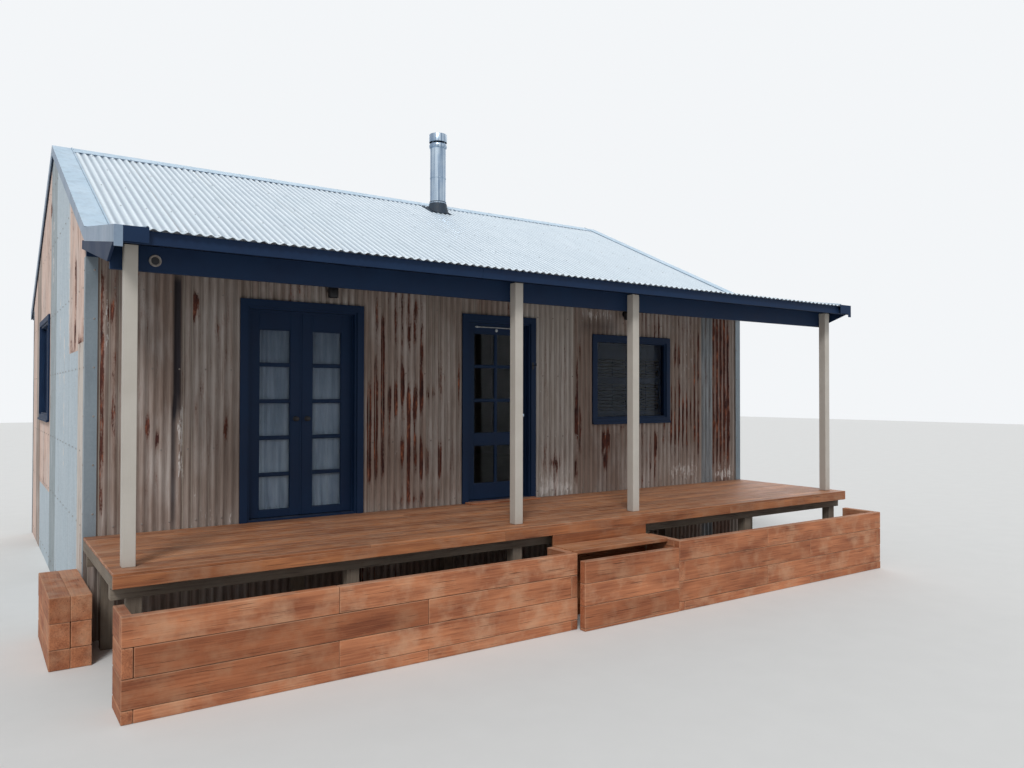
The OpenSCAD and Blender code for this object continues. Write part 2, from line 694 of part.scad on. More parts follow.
// The ring round the top of the pipe, and the band that a cross of strips holds over it
module flue_cowl() color(iron) at_flue(pipe_top) {
    strips_z = ring_h / 2 - spider_h;
    translate([0, 0, -ring_h / 2]) difference() {
        cylinder(d = cowl_dia, h = ring_h);
        translate([0, 0, -past]) cylinder(d = flue_dia, h = ring_h + 2 * past);
    }
    translate([0, 0, ring_h / 2 + cowl_gap]) cylinder(d = cowl_dia, h = cowl_h);
    translate([0, 0, strips_z]) cylinder(d = core_dia, h = spider_h + cowl_gap);
    for (a = [0, 90]) rotate([0, 0, a])
        translate([flash_t - cowl_dia / 2, -spider_t / 2, strips_z])
            cube([cowl_dia - 2 * flash_t, spider_t, spider_h + cowl_gap]);
}
module flue_boot() color(black) difference() {
    at_flue(boot_low) cylinder(d1 = boot_dia, d2 = boot_top_dia, h = flue_base - boot_low + boot_up);
    at_flue(boot_low - past) cylinder(d = flue_dia, h = flue_base - boot_low + boot_up + 2 * past);
    along_x(xl, xr, [for (y = [flue_y - boot_dia, flue_y + boot_dia]) [y, main_z(y) + seat],
        [flue_y + boot_dia, 0], [flue_y - boot_dia, 0]]);
}

// Barrel lights under the ledger, each on a plate against the crests of the iron
light_d = 100;
light_h = 150;
light_past_door = 272;
light_before_window = 138;
light_under_ledger = 56;
light_x = [french_x + french_w / 2 + light_past_door, window_x + window_w / 2 - light_before_window];
light_z = under_rafter(yf) - ledger_drop - light_under_ledger - light_h / 2;
light_arm = 20;
light_plate = 70;
module wall_lights() color(black)
    for (x = light_x) translate([xl + x, yf, light_z]) {
        block([-light_plate / 2, -light_arm, -light_plate / 2], [light_plate / 2, 0, light_plate / 2]);
        translate([0, -light_arm - light_d / 2, -light_h / 2]) cylinder(d = light_d, h = light_h);
        block([-light_plate / 4, -light_arm - light_d / 2, -light_plate / 4],
            [light_plate / 4, -light_arm, light_plate / 4]);
    }

front_base_wall();
front_wall_left();
front_wall_middle();
front_wall_right();
french_lintel();
entry_lintel();
rear_wall();
left_gable_wall();
right_gable_wall();
front_cladding();
rear_cladding();
left_gable_cladding();
right_gable_cladding();
corner_flashings();
inner_floor();
stumps();
roof_panel_front();
roof_panel_rear();
roof_iron_front();
roof_iron_rear();
ridge_capping();
barge_cappings();
barge_boards();
rear_fascia();
verandah_iron();
verandah_rafters();
verandah_ledger();
verandah_lining();
verandah_fascia();
verandah_beam();
verandah_end_boards();
verandah_posts();
deck();
deck_joists();
deck_bearers();
deck_fascia();
step();
front_sleepers();
side_step();
planter_left();
planter_right();
french_frame();
french_leaf_left();
french_glass_left();
french_knob_left();
french_leaf_right();
french_glass_right();
french_knob_right();
entry_frame();
entry_leaf();
entry_glass();
entry_handle();
front_window();
gable_window();
window_panes();
flue_pipe();
flue_cowl();
flue_boot();
wall_lights();
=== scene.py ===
from math import cos, pi, radians, sin, tan
from random import Random

import bmesh
import bpy
from mathutils import Matrix, Vector, noise


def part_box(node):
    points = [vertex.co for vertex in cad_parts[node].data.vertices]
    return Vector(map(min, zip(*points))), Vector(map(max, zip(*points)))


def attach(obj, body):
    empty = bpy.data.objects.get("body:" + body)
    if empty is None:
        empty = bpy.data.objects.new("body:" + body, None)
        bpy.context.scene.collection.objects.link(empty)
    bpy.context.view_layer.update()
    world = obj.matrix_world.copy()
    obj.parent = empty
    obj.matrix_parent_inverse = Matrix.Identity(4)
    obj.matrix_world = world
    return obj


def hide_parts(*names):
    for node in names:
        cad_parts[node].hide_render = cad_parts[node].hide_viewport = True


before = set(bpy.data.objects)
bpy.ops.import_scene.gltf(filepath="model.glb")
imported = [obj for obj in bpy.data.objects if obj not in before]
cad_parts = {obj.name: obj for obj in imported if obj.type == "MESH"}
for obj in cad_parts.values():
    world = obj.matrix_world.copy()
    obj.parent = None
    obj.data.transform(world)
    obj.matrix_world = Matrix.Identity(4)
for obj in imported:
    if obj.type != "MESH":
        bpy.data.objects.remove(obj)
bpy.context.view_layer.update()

# Corrugated iron, in metres: its wave, its sheets' thickness and the lift of one sheet over the next
PITCH = 0.0762
DEPTH = 0.017
IRON = 0.0012
LAP_LIFT = 0.0016

# Slopes of the two roofs, where their iron stops short, the frame's own sheet metal, and how far
# trim is seated over the crests
ROOF_SLOPE = radians(25)
VERANDAH_SLOPE = radians(9.25)
RIDGE_GAP = 0.015
PORCH_GAP = 0.004
FRAME_IRON = 0.0015
SEAT = 0.0005

# Faces of the hut and lines of its roofs, from the frame
LEFT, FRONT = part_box("front_cladding")[0].x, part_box("front_cladding")[0].y
RIGHT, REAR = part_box("front_cladding")[1].x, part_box("rear_cladding")[1].y
CORE_FRONT, CORE_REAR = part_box("front_cladding")[1].y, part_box("rear_cladding")[0].y
CLAD_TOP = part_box("front_cladding")[1].z
MIDDLE = (FRONT + REAR) / 2
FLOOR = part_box("deck")[1].z
LENGTH = RIGHT - LEFT
roof_low, roof_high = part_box("roof_iron_front")
porch_low, porch_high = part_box("verandah_iron")
rear_roof_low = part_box("roof_iron_rear")[1].y
PORCH_TOP_Y = FRONT - PORCH_GAP
WALL_ROOF_Z = roof_high.z - tan(ROOF_SLOPE) * (MIDDLE - RIDGE_GAP - FRONT)


def main_z(y):
    """Height of the crests of the main roof over a place y."""
    return WALL_ROOF_Z + tan(ROOF_SLOPE) * ((REAR - FRONT) / 2 - abs(y - MIDDLE))


def porch_z(y):
    """Height of the crests of the verandah roof over a place y."""
    return porch_high.z + tan(VERANDAH_SLOPE) * (y - PORCH_TOP_Y)


def srgb(red, green, blue):
    """A display colour from 0 to 255 as a linear one."""
    return [*((part / 255) ** 2.2 for part in (red, green, blue)), 1.0]


# Shader tools
class Graph:
    """Adds shader nodes to a tree and links their sockets."""

    def __init__(self, tree):
        self.tree = tree

    def feed(self, socket, value):
        if isinstance(value, bpy.types.NodeSocket):
            self.tree.links.new(value, socket)
        else:
            socket.default_value = value

    def add(self, kind, inputs=(), **settings):
        node = self.tree.nodes.new(kind)
        for name, value in settings.items():
            setattr(node, name, value)
        for name, value in dict(inputs).items():
            self.feed(node.inputs[name], value)
        return node

    def noise(self, vector, scale, detail=3.0, rough=0.5):
        sockets = {"Vector": vector, "Scale": scale, "Detail": detail, "Roughness": rough}
        return self.add("ShaderNodeTexNoise", sockets).outputs["Fac"]

    def drawn_noise(self, vector, factors, detail=3.0, rough=0.5):
        """Noise drawn out by a factor along each axis."""
        return self.noise(self.scaled(vector, factors), 1.0, detail, rough)

    def maths(self, operation, *values):
        node = self.add("ShaderNodeMath", operation=operation)
        for socket, value in zip(node.inputs, values):
            self.feed(socket, value)
        return node.outputs[0]

    def scaled(self, vector, factors):
        node = self.add("ShaderNodeVectorMath", operation="MULTIPLY")
        self.feed(node.inputs[0], vector)
        self.feed(node.inputs[1], factors)
        return node.outputs["Vector"]

    def mix(self, share, first, second, blend="MIX"):
        node = self.add("ShaderNodeMix", data_type="RGBA", blend_type=blend)
        self.feed(node.inputs[0], share)
        self.feed(node.inputs[6], first)
        self.feed(node.inputs[7], second)
        return node.outputs[2]

    def shaded(self, share, colour, tint):
        """The colour, darkened by a tint where the share is high."""
        return self.mix(share, colour, self.mix(1.0, colour, tint, "MULTIPLY"))

    def span(self, value, low, high, to_low=0.0, to_high=1.0):
        sockets = {"Value": value, "From Min": low, "From Max": high,
                   "To Min": to_low, "To Max": to_high}
        return self.add("ShaderNodeMapRange", sockets).outputs["Result"]

    def ramp(self, value, stops):
        node = self.add("ShaderNodeValToRGB", {"Fac": value})
        elements = node.color_ramp.elements
        for place, (position, colour) in enumerate(stops):
            element = elements[place] if place < 2 else elements.new(position)
            element.position = position
            element.color = colour
        return node.outputs["Color"]

    def attribute(self, name, kind="Fac"):
        return self.add("ShaderNodeAttribute", attribute_name=name).outputs[kind]

    def object_place(self, order="XYZ"):
        """Object coordinates, with the axes in the given order."""
        place = self.add("ShaderNodeTexCoord").outputs["Object"]
        if order == "XYZ":
            return place
        parts = self.add("ShaderNodeSeparateXYZ", {"Vector": place}).outputs
        return self.add("ShaderNodeCombineXYZ", dict(zip("XYZ", (parts[axis] for axis in order)))).outputs[0]

    def upward(self):
        """How far a face looks up, from -1 to 1."""
        normal = self.add("ShaderNodeNewGeometry").outputs["Normal"]
        return self.add("ShaderNodeSeparateXYZ", {"Vector": normal}).outputs["Z"]

    def spangle(self, vector, scale):
        """The crystals of a zinc coat, each with its own grey."""
        cells = self.add("ShaderNodeTexVoronoi", {"Vector": vector, "Scale": scale}).outputs["Color"]
        return self.add("ShaderNodeSeparateXYZ", {"Vector": cells}).outputs["X"]

    def group(self, tree, **inputs):
        node = self.add("ShaderNodeGroup", node_tree=tree)
        for name, value in inputs.items():
            self.feed(node.inputs[name], value)
        return node.outputs

    def bump(self, height, distance):
        return self.add("ShaderNodeBump", {"Height": height, "Distance": distance}).outputs["Normal"]


def shader_group(name, inputs, outputs, build):
    """A node group with these sockets; build gets a graph and its inputs and gives its outputs."""
    tree = bpy.data.node_groups.new(name, "ShaderNodeTree")
    for label, kind in inputs.items():
        tree.interface.new_socket(label, in_out="INPUT", socket_type="NodeSocket" + kind)
    for label in outputs:
        tree.interface.new_socket(label, in_out="OUTPUT", socket_type="NodeSocketFloat")
    graph = Graph(tree)
    start = graph.add("NodeGroupInput")
    end = graph.add("NodeGroupOutput")
    values = build(graph, *(start.outputs[label] for label in inputs))
    for label, value in zip(outputs, values):
        tree.links.new(value, end.inputs[label])
    return tree


def build_rust(graph, vector, amount):
    """Rust in ragged dashes down the sheet, gathered in patches, and its tone from dark to bright."""
    dashes = graph.drawn_noise(vector, (34.0, 3.4, 1.0), 5.0, 0.64)
    patches = graph.drawn_noise(vector, (3.4, 1.1, 1.0), 3.0, 0.55)
    specks = graph.drawn_noise(vector, (120.0, 40.0, 1.0), 3.0, 0.7)
    tone = graph.drawn_noise(vector, (22.0, 5.0, 1.0), 4.0, 0.68)
    coarse = graph.maths("MULTIPLY_ADD", dashes, 0.5, graph.maths("MULTIPLY", patches, 0.4))
    spread = graph.maths("MULTIPLY_ADD", specks, 0.16, graph.maths("ADD", coarse, amount))
    halo = graph.span(spread, 0.58, 0.7)
    return graph.span(spread, 0.665, 0.71), halo, graph.span(tone, 0.36, 0.68), patches


RUST = shader_group("rust", {"Vector": "Vector", "Amount": "Float"},
                    ("Mask", "Halo", "Tone", "Patches"), build_rust)


def build_grain(graph, vector):
    """Grain along X of a board's own coordinates, with its long checks."""
    wander = graph.drawn_noise(vector, (1.6, 7.0, 7.0), 2.0)
    lines = graph.drawn_noise(vector, (2.2, 75.0, 75.0), 4.0, 0.65)
    checks = graph.drawn_noise(vector, (3.0, 150.0, 150.0), 2.0, 0.4)
    grain = graph.maths("MULTIPLY_ADD", wander, 0.55, graph.maths("MULTIPLY", lines, 0.55))
    return graph.span(grain, 0.36, 0.74), graph.span(checks, 0.64, 0.74)


GRAIN = shader_group("grain", {"Vector": "Vector"}, ("Grain", "Checks"), build_grain)


def build_dust(graph, vector, amount):
    """Dust that lies on the faces that look up."""
    drift = graph.noise(vector, 6.0, 5.0, 0.65)
    lying = graph.maths("MULTIPLY", graph.span(graph.upward(), 0.35, 0.95), graph.span(drift, 0.35, 0.7))
    return (graph.maths("MULTIPLY", lying, amount),)


DUST = shader_group("dust", {"Vector": "Vector", "Amount": "Float"}, ("Mask",), build_dust)


def build_brushed(graph, vector):
    """Brush marks along X of a board's own coordinates, and patches where the sheen fades."""
    marks = graph.drawn_noise(vector, (4.0, 160.0, 160.0), 3.0, 0.6)
    fading = graph.noise(vector, 3.5, 4.0, 0.6)
    return marks, graph.span(fading, 0.3, 0.75)


BRUSHED = shader_group("brush_marks", {"Vector": "Vector"}, ("Marks", "Fading"), build_brushed)


class Finish(Graph):
    """The graph of a new material; fixed values go on its Principled shader's own sockets."""

    def __init__(self, name, **sockets):
        self.material = bpy.data.materials.new(name)
        self.material.use_nodes = True
        super().__init__(self.material.node_tree)
        self.sockets = self.tree.nodes["Principled BSDF"].inputs
        for label, value in sockets.items():
            self.sockets[label.replace("_", " ")].default_value = value

    def done(self, colour, roughness, height=None, depth=0.0):
        """Feeds the shader, with a bump where it has a depth, and gives back the material."""
        self.feed(self.sockets["Base Color"], colour)
        self.feed(self.sockets["Roughness"], roughness)
        if depth:
            self.feed(self.sockets["Normal"], self.bump(height, depth))
        return self.material


def weathered_iron():
    """Old corrugated iron: faded coat or zinc, flakes, dirt and painted shade in the valleys, and rust over
    them.
    """
    graph = Finish("weathered_iron", Specular_IOR_Level=0.3)
    place = graph.attribute("sheet", "Vector")
    coat = graph.attribute("coat", "Color")
    zinc = graph.attribute("zinc")
    rust = graph.group(RUST, Vector=place, Amount=graph.attribute("rust"))
    chalked = graph.mix(graph.span(rust["Patches"], 0.42, 0.66, 0.0, 0.5), coat, srgb(206, 202, 198))
    runs = graph.drawn_noise(place, (60.0, 1.8, 1.0), 4.0, 0.7)
    stained = graph.shaded(graph.span(runs, 0.46, 0.7, 0.0, 0.7), chalked, srgb(186, 172, 164))
    cells = graph.span(graph.spangle(place, 75.0), 0.0, 1.0, 0.0, 0.25)
    silver = graph.shaded(cells, coat, srgb(190, 194, 198))
    bloom = graph.mix(graph.span(runs, 0.44, 0.66, 0.0, 0.5), silver, srgb(204, 212, 218))
    face = graph.mix(zinc, stained, bloom)
    flakes = graph.drawn_noise(place, (46.0, 7.0, 1.0), 4.0, 0.72)
    loose = graph.span(graph.maths("ADD", flakes, graph.attribute("pale")), 0.7, 0.75)
    peeled = graph.mix(loose, face, srgb(216, 212, 208))
    # Dirt and painted shade in the valleys: darker with the depth of the corrugations
    hollow = graph.maths("MULTIPLY", graph.attribute("hollow"), 0.4)
    valley_dirt_and_shade = graph.shaded(hollow, peeled, srgb(122, 114, 110))
    sooty = graph.shaded(graph.attribute("grime"), valley_dirt_and_shade, srgb(92, 96, 112))
    seeping = graph.shaded(graph.maths("MULTIPLY", rust["Halo"], 0.6), sooty, srgb(196, 160, 146))
    rusty = graph.ramp(rust["Tone"], ((0.0, srgb(58, 35, 32)), (1.0, srgb(164, 102, 76)),
                                      (0.6, srgb(96, 57, 47))))
    shiny = graph.maths("MULTIPLY", zinc, graph.maths("SUBTRACT", 1.0, rust["Mask"]))
    graph.feed(graph.sockets["Metallic"], graph.maths("MULTIPLY", shiny, 0.35))
    height = graph.maths("MULTIPLY_ADD", rust["Tone"], 0.6, rust["Mask"])
    return graph.done(graph.mix(rust["Mask"], seeping, rusty), graph.span(shiny, 0.0, 1.0, 0.85, 0.5),
                      height, 0.0008)


def roof_iron():
    """New zinc coated iron, bright on the crests, with painted shade that greys the valleys."""
    graph = Finish("new_iron", Metallic=0.3)
    place = graph.attribute("sheet", "Vector")
    runs = graph.drawn_noise(place, (30.0, 0.9, 1.0), 4.0, 0.6)
    smudges = graph.noise(place, 2.6, 5.0, 0.6)
    cells = graph.span(graph.spangle(place, 60.0), 0.0, 1.0, 0.0, 0.12)
    bright = graph.shaded(cells, srgb(222, 234, 242), srgb(186, 193, 200))
    streaked = graph.shaded(graph.span(runs, 0.48, 0.8, 0.0, 0.25), bright, srgb(186, 192, 198))
    # Painted shade: the valleys greyed by their depth
    valley_shade = graph.maths("POWER", graph.attribute("hollow"), 1.4)
    hollow = graph.shaded(graph.maths("MULTIPLY", valley_shade, 0.75), streaked, srgb(138, 150, 164))
    return graph.done(hollow, graph.span(smudges, 0.3, 0.7, 0.36, 0.52),
                      graph.maths("MULTIPLY_ADD", smudges, 0.5, runs), 0.0006)


def folded_iron(name, lit_top, side):
    """Folded flashing with painted light: a lit colour where it looks up and painted shade on its sides, with
    spangle and faint runs.
    """
    graph = Finish(name, Metallic=0.3)
    place = graph.object_place()
    runs = graph.drawn_noise(place, (9.0, 9.0, 1.4), 4.0, 0.6)
    smudges = graph.noise(place, 2.6, 5.0, 0.6)
    # Painted light: the lit colour on faces that look up, the shaded one on the sides
    colour = graph.mix(graph.span(graph.upward(), 0.3, 0.8), side, lit_top)
    cells = graph.span(graph.spangle(place, 60.0), 0.0, 1.0, 0.0, 0.14)
    tinted = graph.shaded(cells, colour, srgb(186, 190, 196))
    streaked = graph.shaded(graph.span(runs, 0.46, 0.74, 0.0, 0.5), tinted, srgb(200, 202, 204))
    return graph.done(streaked, graph.span(smudges, 0.3, 0.7, 0.4, 0.58),
                      graph.maths("MULTIPLY_ADD", smudges, 0.5, runs), 0.0006)


def timber(name, dark, light, weathered, roughness, dust, order=None):
    """Timber with grain, checks, worn arrises and dust on top. With an order of the axes it is for
    a node of the frame, whose grain runs along the first of them."""
    graph = Finish(name, Specular_IOR_Level=0.35)
    place = graph.object_place(order) if order else graph.attribute("grain", "Vector")
    grain = graph.group(GRAIN, Vector=place)
    wood = graph.mix(grain["Grain"], dark, light)
    smudges = graph.noise(place, 5.0, 4.0, 0.6)
    worn = graph.mix(graph.span(smudges, 0.46, 0.72, 0.0, 0.6), wood, weathered)
    if not order:
        tone = graph.span(graph.attribute("tone"), 0.0, 1.0, 0.0, 0.75)
        toned = graph.shaded(tone, worn, srgb(186, 166, 152))
        worn = graph.mix(graph.maths("MULTIPLY", graph.attribute("edge"), 0.2), toned, weathered)
    split = graph.mix(graph.maths("MULTIPLY", grain["Checks"], 0.7), worn, srgb(46, 30, 22))
    lying = graph.group(DUST, Vector=place, Amount=dust)["Mask"]
    height = graph.maths("SUBTRACT", grain["Grain"], graph.maths("MULTIPLY", grain["Checks"], 1.4))
    return graph.done(graph.mix(lying, split, srgb(186, 168, 148)),
                      graph.span(smudges, 0.3, 0.7, roughness - 0.06, roughness + 0.12), height, 0.0012)


def paint(name, colour, faded, roughness, dust, boards=True):
    """Brushed paint on timber, chalking in patches and rubbed along its arrises."""
    graph = Finish(name, Specular_IOR_Level=0.25)
    place = graph.attribute("grain", "Vector") if boards else graph.object_place()
    brush = graph.group(BRUSHED, Vector=place)
    coat = graph.mix(graph.span(brush["Fading"], 0.0, 1.0, 0.0, 0.6), colour, faded)
    if boards:
        coat = graph.mix(graph.maths("MULTIPLY", graph.attribute("edge"), 0.5), coat, faded)
    lying = graph.group(DUST, Vector=place, Amount=dust)["Mask"]
    return graph.done(graph.mix(lying, coat, srgb(170, 162, 150)),
                      graph.span(brush["Fading"], 0.0, 1.0, roughness, roughness + 0.14),
                      brush["Marks"], 0.0004)


def dull_metal(name, colour, faded, roughness, metallic):
    """Plain metal or rubber with faint mottling."""
    graph = Finish(name, Metallic=metallic)
    place = graph.object_place()
    mottle = graph.noise(place, 30.0, 4.0, 0.6)
    return graph.done(graph.mix(graph.span(mottle, 0.35, 0.7), colour, faded),
                      graph.span(mottle, 0.3, 0.7, roughness - 0.06, roughness + 0.1),
                      graph.noise(place, 400.0, 2.0), 0.0003)


def brushed_steel():
    """Stainless steel with fine rings of brushing, a faint bluish bloom, and long vertical bands of painted
    reflection.
    """
    graph = Finish("brushed_steel", Metallic=0.9)
    place = graph.object_place()
    rings = graph.drawn_noise(place, (6.0, 6.0, 420.0), 3.0, 0.6)
    bloom = graph.noise(place, 7.0)
    tint = graph.mix(graph.span(bloom, 0.35, 0.7), srgb(164, 180, 196), srgb(142, 162, 184))
    # Painted reflections: long vertical bands, lighter and darker, stand in for the surroundings mirrored in
    # the pipe
    reflection_bands = graph.drawn_noise(place, (34.0, 34.0, 0.4), 3.0, 0.6)
    bright = graph.mix(graph.span(reflection_bands, 0.5, 0.66, 0.0, 0.8), tint, srgb(206, 220, 232))
    painted_reflections = graph.shaded(graph.span(reflection_bands, 0.5, 0.36, 0.0, 0.8), bright, srgb(168, 178, 192))
    return graph.done(painted_reflections, graph.span(rings, 0.3, 0.7, 0.2, 0.34), rings, 0.0002)


def window_glass():
    """Clear glass with faint smears."""
    graph = Finish("window_glass", Transmission_Weight=1.0, IOR=1.2, Specular_IOR_Level=0.3)
    smears = graph.drawn_noise(graph.object_place(), (12.0, 12.0, 5.0), 4.0, 0.65)
    clear = graph.mix(graph.span(smears, 0.4, 0.8), srgb(208, 218, 226), srgb(194, 206, 214))
    return graph.done(clear, graph.span(smears, 0.45, 0.8, 0.0, 0.02))


def curtain_cloth():
    """Thin pale cloth with its weave, painted shade in vertical bands for its folds, and darker towards its
    head.
    """
    graph = Finish("curtain_cloth", Sheen_Weight=0.2)
    place = graph.object_place()
    weave = graph.drawn_noise(place, (900.0, 900.0, 700.0), 2.0)
    # Painted shade: darker bluish bands where the folds would lie in shade
    folds = graph.drawn_noise(place, (18.0, 18.0, 1.2))
    cloth = graph.mix(graph.span(folds, 0.35, 0.7), srgb(164, 172, 184), srgb(208, 211, 218))
    height = graph.add("ShaderNodeSeparateXYZ", {"Vector": place}).outputs["Z"]
    return graph.done(graph.shaded(graph.span(height, 1.4, 2.8), cloth, srgb(168, 176, 188)),
                      graph.span(weave, 0.3, 0.7, 0.8, 0.95), weave, 0.0004)


NAVY_COAT = srgb(16, 38, 66), srgb(29, 52, 80), 0.58, 0.2
STUMP_WOOD = srgb(92, 82, 72), srgb(136, 124, 110), srgb(130, 122, 112), 0.8, 0.2
OLD_IRON = weathered_iron()
NEW_IRON = roof_iron()
# Each folded iron has a lit colour for faces that look up and a darker one, painted shade, for its sides
FLASHING = folded_iron("flashing_iron", srgb(178, 202, 220), srgb(130, 148, 168))
CORNER = folded_iron("corner_iron", srgb(146, 158, 168), srgb(132, 144, 152))
NAVY = paint("navy_paint", *NAVY_COAT)
NAVY_CAD = paint("navy_paint_plain", *NAVY_COAT, boards=False)
SHUTTER = paint("shutter_paint", srgb(14, 30, 50), srgb(24, 42, 62), 0.58, 0.12)
CREAM = paint("cream_paint", srgb(190, 184, 175), srgb(174, 167, 157), 0.55, 0.2)
DECKING = timber("deck_timber", srgb(124, 72, 48), srgb(202, 134, 88), srgb(180, 142, 114), 0.5, 0.25)
SLEEPER = timber("sleeper_timber", srgb(134, 78, 54), srgb(206, 136, 96), srgb(204, 162, 130), 0.75, 0.4)
STUMP = timber("stump_timber", *STUMP_WOOD, order="ZXY")
JOIST = timber("joist_timber", *STUMP_WOOD, order="YXZ")
BEARER = timber("bearer_timber", *STUMP_WOOD, order="XYZ")
LINING = paint("wall_lining", srgb(164, 156, 144), srgb(150, 142, 130), 0.6, 0.1, boards=False)
BLACK = dull_metal("black_metal", srgb(26, 26, 29), srgb(40, 40, 43), 0.4, 0.3)
RUBBER = dull_metal("boot_rubber", srgb(28, 40, 53), srgb(44, 60, 74), 0.65, 0.0)
SCREW = dull_metal("screw_zinc", srgb(196, 202, 206), srgb(166, 172, 176), 0.45, 0.5)
NAIL = dull_metal("nail_zinc", srgb(148, 144, 140), srgb(124, 112, 104), 0.7, 0.2)
STEEL = brushed_steel()
GLASS = window_glass()
CLOTH = curtain_cloth()


# Mesh tools
def new_piece(name, shape, finish, slot, body="hut", replaces=(), solid=0.0):
    """A finished piece from a bmesh: its material and body, the nodes it stands for, and the
    thickness of sheet metal behind its faces. Its slot is not used."""
    mesh = bpy.data.meshes.new(name)
    shape.to_mesh(mesh)
    shape.free()
    mesh.materials.append(finish)
    piece = bpy.data.objects.new(name, mesh)
    bpy.context.scene.collection.objects.link(piece)
    if solid:
        wall = piece.modifiers.new("thickness", "SOLIDIFY")
        wall.thickness = solid
        wall.offset = -1.0
    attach(piece, body)
    if replaces:
        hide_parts(*replaces)
    return piece


def joined(parts):
    """One bmesh with all the parts in it."""
    whole = bmesh.new()
    held = bpy.data.meshes.new("held")
    for part in parts:
        part.to_mesh(held)
        whole.from_mesh(held)
        part.free()
    bpy.data.meshes.remove(held)
    return whole


def scattered(template, places):
    """One bmesh with a copy of the template at each place."""
    def copy_at(place):
        copy = template.copy()
        copy.transform(place)
        return copy
    whole = joined(copy_at(place) for place in places)
    template.free()
    return whole


def rounded_shading(shape, limit=radians(35)):
    """Smooth shading, with sharp edges where the faces meet at more than the limit."""
    for face in shape.faces:
        face.smooth = True
    for edge in shape.edges:
        edge.smooth = len(edge.link_faces) == 2 and edge.calc_face_angle(0.0) < limit
    return shape


def lay_grain(shape, along, tone):
    """Gives a board its own coordinates, with X along the grain, its tone and its worn arrises."""
    grain = shape.verts.layers.float_vector.new("grain")
    shade = shape.verts.layers.float.new("tone")
    arris = shape.faces.layers.float.new("edge")
    across = [axis for axis in range(3) if axis != along]
    shift = Vector((tone * 31.0, tone * 17.0, tone * 23.0))
    for vert in shape.verts:
        vert[grain] = Vector((vert.co[along], vert.co[across[0]], vert.co[across[1]])) + shift
        vert[shade] = tone
    shape.normal_update()
    for face in shape.faces:
        face[arris] = float(max(abs(part) for part in face.normal) < 0.99)


def board(low, high, tone=0.5, ease=0.002, segments=1):
    """A board between two corners, with eased arrises and its grain along its longest side."""
    low = Vector(low)
    high = Vector(high)
    size = high - low
    shape = bmesh.new()
    bmesh.ops.create_cube(shape, size=1.0)
    bmesh.ops.scale(shape, vec=size, verts=shape.verts)
    bmesh.ops.bevel(shape, geom=shape.edges[:], offset=ease, offset_type="OFFSET", segments=segments,
                    profile=0.5, affect="EDGES", clamp_overlap=True, material=-1)
    lay_grain(shape, max(range(3), key=lambda axis: size[axis]), tone)
    bmesh.ops.translate(shape, vec=(low + high) / 2, verts=shape.verts)
    return shape


def grid_places(shape, columns, rows):
    """Adds a grid to a shape and gives its vertices, each with its shares from 0 to 1 across and up."""
    verts = bmesh.ops.create_grid(shape, x_segments=columns, y_segments=rows, size=0.5)["verts"]
    return [(vert, vert.co.x + 0.5, vert.co.y + 0.5) for vert in verts]


def turned(profile, steps=40, centre=(0.0, 0.0, 0.0)):
    """A profile of (radius, height) points turned round a standing axis."""
    shape = bmesh.new()
    verts = [shape.verts.new((radius, 0.0, height)) for radius, height in profile]
    edges = [shape.edges.new(pair) for pair in zip(verts, verts[1:])]
    bmesh.ops.spin(shape, geom=verts + edges, cent=(0, 0, 0), axis=(0, 0, 1), angle=2 * pi,
                   steps=steps, use_merge=True)
    bmesh.ops.remove_doubles(shape, verts=shape.verts, dist=1e-5)
    bmesh.ops.recalc_face_normals(shape, faces=shape.faces)
    bmesh.ops.translate(shape, vec=centre, verts=shape.verts)
    return rounded_shading(shape)


def to_front(shape, x, y, z):
    """Turns a standing shape so that its top looks to the front, and moves it to a place."""
    shape.transform(Matrix.Translation((x, y, z)) @ Matrix.Rotation(pi / 2, 4, "X"))
    return shape


def folded(outline, path):
    """Sheet metal with an outline of points, drawn along a path of steps from its first place."""
    shape = bmesh.new()
    verts = [shape.verts.new(point) for point in outline]
    edges = [shape.edges.new(pair) for pair in zip(verts, verts[1:])]
    for step in path:
        grown = bmesh.ops.extrude_edge_only(shape, edges=edges)["geom"]
        verts = [part for part in grown if isinstance(part, bmesh.types.BMVert)]
        edges = [part for part in grown if isinstance(part, bmesh.types.BMEdge)]
        bmesh.ops.translate(shape, vec=step, verts=verts)
    return shape


def facing(shape, up):
    """Turns a folded sheet's faces so that most of them look along the given direction."""
    shape.normal_update()
    if sum(face.normal.dot(Vector(up)) * face.calc_area() for face in shape.faces) < 0:
        bmesh.ops.reverse_faces(shape, faces=shape.faces)
    return shape


def axes(across, along, outward, origin=(0, 0, 0)):
    """The matrix that lays u, v and w along three directions from an origin."""
    return Matrix.Translation(origin) @ Matrix((across, along, outward)).transposed().to_4x4()


# Corrugated iron
FINISHES = {
    "new": dict(coat=srgb(214, 222, 228), rust=-1.0, zinc=1.0, valley=0.0),
    "galvanised": dict(coat=srgb(186, 199, 207), rust=-0.03, zinc=1.0, valley=0.03),
    "dull": dict(coat=srgb(152, 162, 166), rust=0.0, zinc=0.9, valley=0.05),
    "dark_zinc": dict(coat=srgb(124, 130, 134), rust=0.02, zinc=0.8, valley=0.08),
    "pink": dict(coat=srgb(220, 194, 181), rust=0.02, zinc=0.0, valley=0.04),
    "beige": dict(coat=srgb(206, 198, 190), rust=0.01, zinc=0.0, valley=0.04),
    "white": dict(coat=srgb(184, 176, 168), rust=0.0, zinc=0.0, valley=0.06),
    "brown": dict(coat=srgb(148, 131, 121), rust=0.01, zinc=0.0, valley=0.06),
    "ash": dict(coat=srgb(156, 143, 134), rust=0.0, zinc=0.0, valley=0.06),
    "streaked": dict(coat=srgb(158, 142, 132), rust=0.03, zinc=0.0, valley=0.12),
    "rusty": dict(coat=srgb(146, 124, 114), rust=0.09, zinc=0.0, valley=0.12),
}


